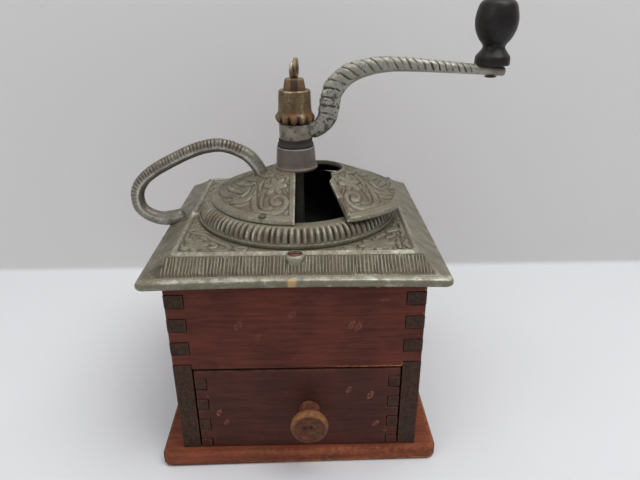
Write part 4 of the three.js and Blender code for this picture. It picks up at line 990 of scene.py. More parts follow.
# the ribbed band on a slope: the slope's height plus rounded ribs by a cosine of x whose trough is drawn narrow
def makeBands(b):
    p, m = plateSizes, bandSizes["shade"]
    down = np.linspace(0, 1, b["rows"])[:, None]
    across = np.linspace(0, 1, b["columns"])[None, :]
    x = lerp(lerp(b["topLeft"], b["bottomLeft"], down), lerp(b["topRight"], b["bottomRight"], down), across)
    slope = (p["panelTop"] - p["rimTop"]) / (p["halfDepth"] - p["lip"] - p["panelHalfDepth"])
    place = np.stack([x, 0 * x, b["downStretch"] * down + 0 * x], -1)
    wave = np.cos(2 * math.pi * (x + uneven(place, b["wander"])) / b["pitch"])
    strength = np.clip(b["strength"] + uneven(place, b["strengthLumps"]), b["leastStrength"], 1)
    rib = 1 - fall(*b["trough"], wave) * strength
    edge = ramp(0, b["topFade"], down) * fall(b["bottomFade"], 1, down)
    edge = edge * ramp(0, b["endShare"], across) * fall(1 - b["endShare"], 1, across)
    for side, name in ((-1, "plateRibsFront"), (1, "plateRibsBack")):
        y = side * (lerp(b["topY"], b["bottomY"], down) + 0 * across)
        ground = p["panelTop"] - slope * (np.abs(y) - p["panelHalfDepth"]) + lipWarp(x, y)
        fromBoss = np.hypot(x, np.abs(y) - p["bossY"])
        lift = (b["height"] * rib * edge + b["clear"]) * ramp(p["bossRadius"] - 0.5, p["bossRadius"] + 0.5, fromBoss)
        top = np.stack([x, y, ground + lift + uneven(place, b["skin"])], -1)
        under = np.stack([x, y, ground - b["sink"]], -1)[::-1][::b["rows"] - 1]
        # troughs dark, ribs light, random painted glints, and a painted shadow line along the band's lower edge
        shade = m["trough"] + m["rib"] * rib + m["glint"] * ramp(0.2, 1, lumps(place, *m["glints"]))
        shade = shade - m["foot"] * ramp(0.8, 0.97, down)
        plain = np.zeros((2, b["columns"]))
        relief = np.vstack([lerp(m["end"], shade, edge), plain])
        stain = np.vstack([0.2 * ramp(0.55, 0.95, down) + 0 * x, plain])
        grid = np.concatenate([top, under])
        shell = gridShell(grid, rowsLoop=True, columnsLoop=False, relief=relief, stain=stain)
        makePiece(name, [shell], "case", finishes["castIron"])
    print("ribbed bands made")


hopperSizes = {
    "flangeRadius": 67.0, "beadTop": 147.5, "bandRadius": 65.6, "bandLow": 147.0, "rimRadius": 57.0,
    "rimTop": 156.0, "seat": 144.9, "mouth": 52.0, "throat": 21.5, "bottom": 104.6, "wall": 3.4,
    "bodyRadius": 57.3, "bodyTop": 141.2, "bowlTop": 144.6, "bowlRows": 12,
    "gadroons": 102, "columnsEach": 12, "depth": 1.7, "gadroonShare": 0.86, "bandRows": 24, "roundness": 0.4,
    "sharpness": 1.2, "wanderShare": 0.35, "wander": (5.0, 71), "depthPlain": 0.85,
    "depthLumps": [(3.6, 72, 0.25)], "turnRadius": 62, "skin": [(3.0, 73, 0.08)], "skinAbove": 146,
    "lugInner": 23.2, "lugOuter": 42.0, "lugHalfWidth": 5.5, "lugTop": 110.6,
    "bead": [  # outward from the flange's radius, up from the bead's top, relief
        (0, -0.8, 0.35), (-0.25, -0.2, 0.5), (-0.7, 0, 0.62), (-1.15, -0.15, 0.35), (-1.4, -0.5, -0.1),
    ],
}
# the hopper's marks: the gadroons' crowns carry a painted highlight and the inside is painted near black as shade
hopperRelief = {
    "inside": 0.2, "body": 0.3, "gadroon": 0.62, "aboveGadroon": 0.58, "groove": 1.1, "crownFrom": 0.75,
    "crown": 0.22, "crownLumps": [(6.0, 75, 0.3)], "bandLumps": [(2.2, 74, 0.10)], "deep": 0.93, "stain": 0.55,
    "stainEnds": (0.0, 0.7), "stains": (8.0, 76), "stainBelow": 157,
}


# the hopper as rings: flange with its bead, quarter-round band with rounded gadroons, rim, bowl, throat, outside
def makeHopper(h):
    m = hopperRelief
    angle = circle(h["gadroons"] * h["columnsEach"])
    flange, rim = h["flangeRadius"], h["rimTop"]
    profile = [  # radius, height, gadroon share, relief
        (h["bodyRadius"], h["seat"], 0, 0.3), (flange - 0.3, h["seat"], 0, 0.3), (flange, h["seat"] + 0.5, 0, 0.35),
    ]
    profile += [(flange + out, h["beadTop"] + up, 0, relief) for out, up, relief in h["bead"]]
    for share in np.linspace(0, 1, h["bandRows"]):
        bend = share * math.pi / 2
        along = min(share / h["gadroonShare"], 1)
        bulge = max(math.sin(math.pi * along), 0) ** h["roundness"] if 0 < share else 0
        radius = lerp(h["rimRadius"], h["bandRadius"], math.cos(bend))
        height = lerp(h["bandLow"], rim, math.sin(bend))
        profile.append((radius, height, bulge, m["gadroon"] if along < 1 else m["aboveGadroon"]))
    profile += [(h["rimRadius"] - 1.2, rim, 0, 0.5), (h["mouth"] + 0.6, rim, 0, 0.5)]
    inner = len(profile)
    pull = lerp(h["bottom"], h["bowlTop"], 1 / 3)
    t = np.linspace(0, 1, h["bowlRows"])[:, None]
    bowl = (1 - t) ** 2 * [h["mouth"], h["bowlTop"]] + 2 * t * (1 - t) * [h["mouth"], pull]
    bowl = bowl + t * t * [h["throat"], h["lugTop"]]
    profile += [(h["mouth"], rim - 0.6, 0, 0.4), *((r, z, 0, m["inside"]) for r, z in bowl)]
    profile += [(h["throat"], h["bottom"], 0, m["inside"]), (h["throat"] + h["wall"], h["bottom"], 0, m["inside"])]
    profile += [(r + h["wall"], z - h["wall"], 0, m["inside"]) for r, z in bowl[::-1][1:]]
    profile += [(h["bodyRadius"], h["bodyTop"], 0, m["body"])]
    radius, height, bulge, relief = (np.array(profile)[:, [column]] for column in range(4))
    turn = np.stack([np.cos(angle), np.sin(angle), 0 * angle], -1) * h["turnRadius"]
    wave = np.abs(np.cos(angle * h["gadroons"] / 2 + h["wanderShare"] * lumps(turn, *h["wander"])))
    groove = (1 - wave) ** h["sharpness"] * (h["depthPlain"] + uneven(turn, h["depthLumps"])) * bulge
    toward = np.arctan2(height - h["bandLow"], radius - h["rimRadius"] + 1e-6)
    r = radius - np.cos(toward) * h["depth"] * groove
    z = height - np.sin(toward) * h["depth"] * groove
    points = np.stack([r * np.cos(angle), r * np.sin(angle), z], -1)
    points[..., 2] += uneven(points, h["skin"]) * (height > h["skinAbove"])
    # a painted highlight along the gadroons' crowns
    crown = bulge * ramp(m["crownFrom"], 1, wave) * (m["crown"] + uneven(points, m["crownLumps"]))
    relief = relief - m["groove"] * groove + crown + bulge * uneven(points, m["bandLumps"])
    # the inside below the rim painted near black as shade, and the rim's top painted dark as shade toward the back
    deep = 0 * relief
    deep[inner:] = m["deep"]
    deep[inner - 2:inner] = m["deep"] * ramp(0, 20, points[inner - 2:inner, :, 1])
    stain = m["stain"] * ramp(*m["stainEnds"], lumps(points, *m["stains"])) * (height < m["stainBelow"])
    shells = [gridShell(points, rowsLoop=True, relief=np.clip(relief, -0.2, 1.1), deep=deep, stain=stain)]
    for side in (-1, 1):
        along = np.linspace(h["lugInner"], h["lugOuter"], 6)[:, None] * side
        across = np.array([-1, 1, 1, -1]) * h["lugHalfWidth"]
        up = np.array([h["bottom"], h["bottom"], h["lugTop"], h["lugTop"]])
        lug = np.stack(np.broadcast_arrays(along, across, up + 0 * along), -1)
        shells.append(gridShell(lug, relief=m["body"]))
    makePiece("hopperCasting", shells, "case", finishes["castIron"], ["hopper"])
    print("hopper made")


# the half covers: one dome cut in two, with raised scrolls
coverSizes = {
    "radius": 57.6, "seat": 156.3, "bandHeight": 2.0, "rise": 19.2, "bulge": -0.3, "collar": 13.6,
    "wall": 2.4, "bandWidth": 4.2, "edgeGap": 0.3, "reliefHeight": 0.95, "rows": 96, "columns": 310,
    "innerRadius": 9.5, "border": 52.2, "straightBand": 3.8, "bandLift": 0.5, "rivetX": 19.65,
    "rivetY": 51.19, "rivetRadius": 2.3, "ornamentSeed": 47, "skin": [(2.2, 8, 0.10), (0.9, 9, 0.05)],
    "edgeDrop": 0.7, "edgeFrom": 55.6, "edgeTo": 57.5, "cutDrop": 0.5, "plain": 0.55, "stain": 0.5,
    "stainEnds": (0.15, 0.8), "stains": (11.0, 63), "collarStain": 0.8, "collarFoot": 15.6, "deep": 0.9,
}
coverStrokes = [
    ([(-25.8, -25.4), (-25.9, -35.2), (-25, -42.2), (-21.6, -46.8), (-16.4, -49), (-10.7, -48.5), (-6.9, -45),
      (-5.5, -40), (-7.6, -35.6), (-12, -34.3), (-14.6, -37), (-12.9, -41.1), (-9.8, -40.6)],
     [1.2, 1.8, 2.0, 2.1, 2.1, 2.1, 2.0, 1.9, 1.8, 1.6, 1.4, 1.5, 1.9]),
    ([(-40.6, -30.5), (-35.3, -31.6), (-31, -31.5), (-27.6, -28.7)], [0.8, 2.2, 2.6, 1.0]),
    ([(-37.8, -35.4), (-33.4, -36.6), (-29.6, -36.0)], [1.0, 2.0, 1.2]),
    ([(-50.6, -8.0), (-47.6, -15.0), (-43.6, -20.6), (-40.0, -23.6)], [0.8, 1.6, 1.6, 0.7]),
    ([(-45.2, -6.0), (-42.0, -12.6), (-37.6, -18.6), (-34.8, -22.0)], [0.8, 1.8, 1.7, 0.7]),
    ([(-39.4, -4.6), (-35.0, -10.0), (-30.6, -14.6), (-27.0, -15.4)], [0.8, 1.8, 1.8, 0.8]),
    ([(-32.6, -4.4), (-28.8, -8.6), (-25.8, -12.2)], [0.8, 1.6, 0.8]),
    ([(-49.4, -21.6), (-45.4, -25.4), (-41.6, -26.8)], [0.7, 1.3, 0.7]),
    ([(-28.4, -43.7), (-25.4, -47.4), (-23.6, -50.4)], [0.9, 1.3, 0.7]),
    ([(-34.4, -26.6), (-31.0, -22.8), (-29.6, -19.0)], [0.8, 1.5, 0.9]),
    ([(-20.6, -42.8), (-21.4, -36.8), (-20.4, -31.0)], [0.9, 1.6, 1.0]),
    ([(-22.6, -26.0), (-22.8, -20.0), (-20.6, -14.6)], [0.8, 1.5, 0.9]),
    ([(-15.0, -13.6), (-20.0, -10.4), (-23.6, -5.6)], [1.0, 1.4, 0.8]),
    ([(-7.2, -30.6), (-5.4, -33.6)], [1.1, 0.7]),
    *petals((-13.2, -24.7), [(-17.0, -30.2), (-10.4, -30.4), (-6.9, -25.4), (-8.6, -19.4), (-14.2, -17.6),
                             (-19.0, -22.2)], 2.4),
]


# the dome's height over its seat: straight from the band to the collar, plus 4 b s (1 - s) between
def domeHeight(radius):
    c = coverSizes
    share = (c["radius"] - radius) / (c["radius"] - c["collar"])
    return lerp(c["bandHeight"], c["rise"], share) + 4 * c["bulge"] * share * (1 - share)


# the left half of the dome as rings from its foot to its inner edge and back underneath, and its marks
def halfDome(innerRadius, outerRadius):
    c = coverSizes
    share = np.linspace(0, 1, c["columns"])[None, :]
    outward = outerRadius(share) / c["radius"]
    inner = innerRadius(share) + 0 * share
    band = c["radius"] - c["bandWidth"]
    down = np.linspace(0, 1, c["rows"])[:, None]
    upper = lerp(c["radius"] - 0.7, inner + 0.5, down ** 1.25)
    lower = lerp(inner + 0.6, band, np.linspace(0, 1, 12)[:, None])
    foot, ones = c["radius"] + 0 * share, 1 + 0 * share
    radius = np.vstack([foot - 0.3, foot, foot - 0.25, upper, inner, inner, lower, band * ones])
    lift = np.vstack([
        0 * ones, (c["bandHeight"] - 1.4) * ones, (c["bandHeight"] - 0.7) * ones, domeHeight(upper),
        domeHeight(inner) - 0.4, domeHeight(inner) - c["wall"], domeHeight(lower) - c["wall"], 0 * ones,
    ])
    short = np.arcsin(np.clip(c["edgeGap"] / radius, 0, 1))
    angle = math.pi / 2 + short + (math.pi - 2 * short) * share
    spread = lerp(1, outward, ramp(20, c["radius"], radius))
    x, y = radius * spread * np.cos(angle), radius * spread * np.sin(angle)
    raised, relief = ornament(x, y, coverStrokes, c["ornamentSeed"])
    border = ramp(c["border"], c["border"] + 0.8, radius)
    straight = fall(c["straightBand"] - 0.4, c["straightBand"] + 0.4, -x)
    underCollar = inner.min() < c["collar"]
    neck = fall(16.5, 17.5, radius) if underCollar else fall(2.0, 3.0, radius - inner)
    plain = np.maximum(np.maximum(border, straight), neck)
    top = np.zeros(x.shape)
    top[2:3 + c["rows"]] = 1
    raised = lerp(raised, c["bandLift"], plain) * top
    edgeLine = 4 * plain * (1 - plain)
    points = np.stack([x, y, c["seat"] + lift + raised * c["reliefHeight"]], -1)
    fromCut = -x - c["edgeGap"]
    rounded = c["edgeDrop"] * ramp(c["edgeFrom"], c["edgeTo"], radius) ** 2
    points[..., 2] -= (rounded + c["cutDrop"] * fall(0, 1, fromCut)) * top
    points[..., 2] += uneven(points, c["skin"]) * top
    relief = lerp(relief, c["plain"], plain) - 0.5 * edgeLine
    relief += 0.35 * fall(0.3, 1.5, fromCut) + 0.12 * ramp(c["edgeFrom"], 56.8, radius)
    relief = np.where(top > 0, np.clip(relief, -0.2, 1), 0.5)
    # the dome's underside painted dark as shade
    deep = np.zeros(x.shape)
    deep[4 + c["rows"] + 1:] = c["deep"]
    stain = c["stain"] * ramp(*c["stainEnds"], lumps(points * flattened, *c["stains"])) * top
    if underCollar:
        stain = np.maximum(stain, c["collarStain"] * bell(radius - c["collarFoot"], 1.2) * top)
    return points, {"relief": relief, "deep": deep, "stain": stain}


# the spindle's collar: its bore's foot, its curved outside and its rim as radius and height over the dome, and
# rings of other relief, each at a height with a width and its change
collarSizes = {
    "start": [[5.4, -0.9]],
    "curve": [(13.5, -0.9), (14.0, -0.5), (14.45, 0.3), (14.4, 1.0), (13.7, 1.9), (13.2, 3.2), (13.0, 7),
              (12.7, 10.5), (12.45, 13.4)],
    "rim": [(12.35, 14.0), (12.0, 14.5), (5.4, 14.5)],
    "perSpan": 5, "sides": 96, "plain": 0.5, "rings": [(1.2, 0.5, 0.12), (14.1, 0.3, 0.5), (2.4, 0.5, -0.3)],
    "stain": 0.3, "stainHeight": 3,
}


# the fixed half cover with its two rivets' outlines, and the collar on it
def makeCover(c):
    points, marks = halfDome(lambda share: c["innerRadius"], lambda share: c["radius"])
    gap = np.hypot(points[..., 0] + c["rivetX"], np.abs(points[..., 1]) - c["rivetY"])
    marks["relief"] = marks["relief"] - 0.5 * bell(gap - c["rivetRadius"], 0.5)
    shells = [gridShell(points, rowsLoop=True, columnsLoop=False, **marks)]
    makePiece("coverCasting", shells, "case", finishes["castIron"], ["fixed_cover"])
    s = collarSizes
    foot = c["seat"] + c["rise"]
    curve = throughPoints(np.array(s["curve"]) + [0, foot], s["perSpan"])
    profile = np.vstack([np.array(s["start"]) + [0, foot], curve, np.array(s["rim"]) + [0, foot]])
    up = profile[:, 1] - foot
    relief = s["plain"] + sum(change * bell(up - at, width) for at, width, change in s["rings"])
    stain = s["stain"] * np.exp(-up / s["stainHeight"])
    collar = turnedShell(profile, s["sides"], bored=True, relief=relief[:, None], stain=stain[:, None])
    makePiece("collarCasting", [collar], "case", finishes["collarIron"])
    print("cover and collar made")


lidSizes = {
    "pivotX": 5.0, "pivotY": 55.0, "open": math.radians(16), "notch": 15.4, "cutRadius": 7.4, "cutX": -4.0,
    "cutY": -16.0, "earRadius": 4.4, "earHeight": 3.2, "earSides": 40, "lugRows": 14,
    "reachAngles": [0, 4, 12, 20, 31, 38, 45, 52, 72, 90, 100, 125, 150, 180],
    "reaches": [57.0, 57.6, 57.6, 58.0, 58.6, 59.0, 58.2, 57.0, 55.2, 55.2, 55.8, 56.4, 57.2, 57.6],
    "lugBack": -39.0, "lugFront": -56.4, "lugRightBack": 6.2, "lugRightFront": 2.7, "lugHeight": 1.5,
    "lugSection": [  # share of its width, share of its height, relief, stain
        (0, -1.4, 0.2, 0.2), (0, 0.5, 0.4, 0.4), (0.12, 0.9, 0.3, 0.7), (0.5, 1.0, 0.2, 0.7),
        (0.86, 0.95, 0.5, 0.4), (1, 0.5, 1.2, 0.0), (1, -1.4, 0.4, 0.2),
    ],
    "lugSkin": [(1.3, 33, 0.12)], "lugPatches": [(1.2, 34, 0.35)],
}


# the notch's reach by direction: its circle, or near the front the round corner cut, by the ray and circle
# sum
def notchReach(share):
    d = lidSizes
    away = math.pi * (1 - share) + math.asin(coverSizes["edgeGap"] / 18) * (2 * share - 1)
    along = -d["cutY"] * np.cos(away) + d["cutX"] * np.sin(away)
    room = along ** 2 - (d["cutX"] ** 2 + d["cutY"] ** 2 - d["cutRadius"] ** 2)
    cut = along + np.sqrt(np.maximum(room, 0))
    return np.where((room > 0) & (along > 0), np.maximum(cut, d["notch"]), d["notch"])


# the lid's uneven outer edge: its radius by the angle from the front, between the reaches given
def lidReach(share):
    return np.interp(180 * (1 - share), lidSizes["reachAngles"], lidSizes["reaches"])


# the low raised patch beside the lid's straight edge: a rounded section carried forward over the dome
def lidLug(d):
    c = coverSizes
    across, rise, relief, stain = (np.array(d["lugSection"])[None, :, column] for column in range(4))
    share = np.linspace(0, 1, d["lugRows"])[:, None]
    y = lerp(d["lugBack"], d["lugFront"], share)
    right = lerp(d["lugRightBack"], d["lugRightFront"], share)
    swell = ramp(0, 0.12, share) * fall(0.9, 1, share) * 0.9 + 0.1
    x = lerp(c["edgeGap"] + 0.1, right, across)
    ground = c["seat"] + domeHeight(np.hypot(x, y + 0 * x)) + 0.3
    lug = np.stack([x, y + 0 * x, ground + d["lugHeight"] * np.where(rise > 0, rise * swell, rise)], -1)
    lug[..., 2] += uneven(lug, d["lugSkin"]) * (rise > 0)
    return gridShell(lug, relief=relief + uneven(lug, d["lugPatches"]), stain=stain * fall(0.6, 0.85, share))


# the lid is the dome's other half with its notch, mirrored and turned about its pivot by its open angle
def makeLid(d):
    c = coverSizes
    points, marks = halfDome(notchReach, lidReach)
    points[..., 0] *= -1
    seat, height, radius = c["seat"], d["earHeight"] + c["seat"], d["earRadius"]
    profile = [[1, seat + 0.2], [radius - 0.2, seat + 0.2], [radius, seat + 0.7], [radius, height - 0.6],
               [radius - 0.4, height - 0.05], [1, height]]
    ear = turnedShell(profile, d["earSides"], d["pivotX"], d["pivotY"])
    shells = [gridShell(points, rowsLoop=True, columnsLoop=False, **marks), lidLug(d), ear]
    cosine, sine = math.cos(d["open"]), math.sin(d["open"])
    for shell in shells:
        x, y = shell["points"][:, 0] - d["pivotX"], shell["points"][:, 1] - d["pivotY"]
        turned = d["pivotX"] + x * cosine - y * sine, d["pivotY"] + x * sine + y * cosine
        shell["points"] = np.stack([*turned, shell["points"][:, 2]], -1)
    makePiece("lidCasting", shells, "lid", finishes["castIron"], ["hopper_lid"])
    print("lid made")


handleSizes = {
    "halfHeight": 4.4, "halfDepth": 4.3, "rivetX": -27.2, "screwX": -81.65, "outermost": -109.0, "top": 190.6,
    "rivetMargin": 5.4, "screwMargin": 3.75, "rivetRise": 169.93, "screwRise": 138.67, "pitch": 2.35,
    "stations": 560, "sides": 36, "footRound": 3.0, "footLeast": 0.0025, "footSwell": 0.16, "grooveDepth": 0.13,
    "risingShares": [(0, -0.1), (0.035, 0.21), (0.104, 0.61), (0.2, 0.86), (0.315, 1)],
    "fallingShares": [(0.437, 0.981), (0.552, 0.921), (0.687, 0.816), (0.827, 0.692), (0.936, 0.552),
                      (0.987, 0.422), (1, 0.286)],
    "footShares": [(0.944, 0.16), (0.768, 0.066), (0.519, 0.016), (0.235, 0.027), (0, 0.055)],
}


# the carrying handle: an oval along a bent path, ribbed on its outer face between its two plain ends
def makeHandle(h):
    def leg(startX, lowZ, shares):
        return [(lerp(startX, h["outermost"], out), lerp(lowZ, h["top"], up)) for out, up in shares]

    start = h["rivetX"] + h["rivetMargin"]
    route = leg(start, h["rivetRise"], h["risingShares"]) + leg(start, h["screwRise"], h["fallingShares"])
    route += leg(h["screwX"] + h["screwMargin"], h["screwRise"], h["footShares"])
    path, length = evenly(throughPoints(route, 24), h["stations"])
    share, toEnd = length / length[-1], length[-1] - length
    size = roundedEnd(toEnd, h["footRound"], h["footLeast"])
    size = size * (1 + h["footSwell"] * fall(2, 26, toEnd))
    grid, turn, spine = sweptGrid(path, h["halfHeight"] * size, h["halfDepth"] * size, h["sides"], 0.85)
    outer = ramp(-0.12, 0.14, -np.sin(turn))
    wave = np.cos(2 * math.pi * length / h["pitch"] + 0.8 * lumps(spine, 6.0, 22))
    depth = np.clip(0.8 + 0.4 * lumps(spine, 3.2, 23), 0.3, 1)
    ribbed = ramp(0.13, 0.155, share) * fall(0.72, 0.80, share)
    groove = (fall(-0.95, 0.1, wave) * depth * ribbed)[:, None] * outer[None, :]
    grid = grooved(grid, spine, h["grooveDepth"], groove)
    grid += (lumps(grid, 3.0, 21) * 0.12)[..., None] * (grid - spine[:, None, :]) / h["halfHeight"]
    # painted shade on the ribbed part's inner side and a painted highlight line (crest) along the section
    inner = ramp(0.1, 0.8, np.sin(turn))[None, :] * ribbed[:, None]
    crest = bell(np.sin(turn) - 0.18, 0.16)[None, :] * (0.35 + 0.3 * lumps(grid, 9.0, 24))
    relief = np.clip(0.66 - 0.75 * groove + crest - 0.3 * inner, -0.1, 1.1)
    # the underside painted darker as shade through the stain mark, with real random stains besides
    under = ramp(0.3, 0.8, np.sin(turn))[None, :] + 0 * relief
    stain = np.maximum(0.4 * under, 0.4 * ramp(0.0, 0.6, lumps(grid, 10.0, 25)))
    shell = gridShell(grid, relief=relief, stain=stain)
    makePiece("handleCasting", [shell], "case", finishes["handleIron"], ["side_handle"])
    print("handle made")


crankSizes = {
    "reach": 124.0, "rise": 41.0, "bottom": 195.0, "thickness": 12.0, "depth": 9.6, "pitch": 5.3,
    "slant": 0.75, "narrowing": 0.0006, "stations": 620, "sides": 48, "endRound": 1.2, "endShare": 0.25,
    "grooveDepth": 0.10, "hubRadius": 10.7, "hubHeight": 10.0, "bore": 5.2, "hubSides": 120, "hubStain": 0.45,
    "ropeStart": 20, "slantFull": 62, "square": 0.82, "hubSkin": [(3.2, 37, 0.45), (1.3, 38, 0.2)],
    "hubPatches": [(2.4, 39, 0.35)],
    "reachShares": [0.02, 0.11, 0.163, 0.18, 0.205, 0.275, 0.39, 0.5, 0.73, 1.065],
    "riseShares": [0.13, 0.15, 0.3, 0.53, 0.78, 0.98, 1.09, 1.12, 1.08, 1.0],
    "thicknessShares": [0.84, 0.9, 1.04, 1.12, 1.12, 1.04, 0.87, 0.78, 0.62, 0.46],
}


# the crank's hub: a bored drum whose outside is lumpy
def crankHub(k):
    low, rim, bore = k["bottom"], k["hubRadius"], k["bore"]
    high = low + k["hubHeight"]
    sideRows = [[rim, lerp(low + 0.6, high - 1.0, share)] for share in np.linspace(0, 1, 12)]
    profile = [[bore, low], [rim - 0.6, low], *sideRows, [rim - 0.4, high - 0.3], [rim - 1.2, high],
               [bore, high]]
    hub = turnedShell(profile, k["hubSides"], bored=True, stain=k["hubStain"])
    bumps = uneven(hub["points"], k["hubSkin"]) - 0.2
    outside = np.hypot(hub["points"][:, 0], hub["points"][:, 1]) > rim - 0.1
    hub["points"][:, :2] *= 1 + (bumps * outside / rim)[:, None]
    hub["marks"]["relief"] = 0.38 + uneven(hub["points"], k["hubPatches"])
    return hub


# the crank's arm: a tapering oval along its bent path with slanting rope grooves, and its hub
def makeCrank(k):
    route = np.column_stack([k["reachShares"], k["riseShares"]]) * [k["reach"], k["rise"]] + [0, k["bottom"]]
    raw = throughPoints(route, 24)
    knots, places = (np.linspace(0, 1, count) for count in (len(k["thicknessShares"]), len(raw)))
    thickness = np.interp(places, knots, k["thicknessShares"])
    together, length = evenly(np.column_stack([raw, thickness / perMetre]), k["stations"])
    path, thickness = together[:, :2], together[:, 2] * perMetre
    cut = lerp(1 - k["endShare"], 1, roundedEnd(length[-1] - length, k["endRound"]))
    halfHeight = k["thickness"] / 2 * thickness * cut
    grid, turn, spine = sweptGrid(path, halfHeight, k["depth"] / 2 * cut, k["sides"], k["square"])
    lean = k["slant"] * ramp(k["ropeStart"], k["slantFull"], length)[:, None]
    slant = halfHeight[:, None] * np.sin(turn)[None, :] * lean + grid[..., 1] * 0.15
    closer = k["narrowing"] * np.clip(length - 70, 0, None)[:, None] ** 2
    uneven = 0.9 * lumps(spine, 9.0, 34)[:, None] + 0.5 * lumps(grid, 2.4, 35)
    wave = np.cos(2 * math.pi * ((length[:, None] + slant) / k["pitch"] + closer) + uneven)
    ropePart = ramp(k["ropeStart"], 28, length) * fall(length[-1] - 24, length[-1] - 14, length)
    belly = ramp(-0.66, -0.4, np.sin(turn))
    strength = np.clip(0.75 + 0.6 * lumps(grid, 4.0, 36), 0.15, 1)
    groove = fall(-1.0, -0.35, wave) * belly[None, :] * ropePart[:, None] * strength
    grid = grooved(grid, spine, k["grooveDepth"], groove)
    nearHub = fall(24, 62, length)[:, None]
    swell = lumps(grid, 3.5, 31) * (0.03 + 0.05 * nearHub)
    grid = grid + swell[..., None] * (grid - spine[:, None, :])
    rough = ramp(0.05, 0.5, lumps(grid, 1.3, 40)) * nearHub
    # the upper side painted lighter and the lower side darker, as light and shade, by the sine of the section's
    # angle
    relief = np.clip(0.62 - 0.85 * groove + 0.12 * np.sin(turn)[None, :] - 0.6 * rough, -0.1, 1)
    endStain = 0.5 * ramp(length[-1] - 12, length[-1] - 6, length) + 0.25 * fall(8, 26, length)
    shells = [gridShell(grid, relief=relief, stain=endStain[:, None] + 0 * relief), crankHub(k)]
    makePiece("crankCasting", shells, "crank", finishes["crankIron"], ["crank_arm"])
    print("crank made")


nutSizes = {
    "bottom": 205.3, "skirtRadius": 12.9, "skirtHeight": 7.4, "lobes": 12, "footRadius": 9.9, "barrelRadius": 10.9,
    "shoulderRadius": 10.4, "crownRadius": 9.9, "barrelHeight": 13.2, "topHeight": 7.0, "topRadius": 8.0,
    "bore": 3.8, "boreTop": 18.0, "sides": 192, "ballShare": 0.45, "outlinePlaces": 97,
    "cornerAngles": [16, 62, 118, 164, 196, 242, 298, 344],  # round the top from its front, in degrees
    "eyes": [  # middle x and y, height, half width and wire radius of each loop
        {"x": 1.1, "y": 0.9, "height": 13.6, "halfWidth": 3.3, "wire": 1.15},
        {"x": -1.2, "y": -0.9, "height": 10.8, "halfWidth": 2.9, "wire": 1.05},
    ],
    "eyeTurn": math.radians(76), "eyeRows": 56, "eyeColumns": 14,
}


# one wire loop of the eye standing on a height: a ring drawn tall, its wire round, painted brighter toward its
# top as a highlight
def eyeLoop(n, eye, foot):
    turn, around = circle(n["eyeRows"])[:, None], circle(n["eyeColumns"])[None, :]
    halfHeight = (eye["height"] - 2 * eye["wire"]) / 2
    outward = np.cos(around) * eye["wire"]
    along = np.cos(turn) * (eye["halfWidth"] + outward)
    rise = foot + halfHeight + eye["wire"] + np.sin(turn) * (halfHeight + outward)
    aside = np.sin(around) * eye["wire"] + 0 * turn
    c, s = math.cos(n["eyeTurn"]), math.sin(n["eyeTurn"])
    loop = np.stack([eye["x"] + along * c - aside * s, eye["y"] + along * s + aside * c, rise], -1)
    return gridShell(loop, rowsLoop=True, relief=0.45 + 0.6 * ramp(-0.6, 0.8, np.sin(turn)) + 0 * around)


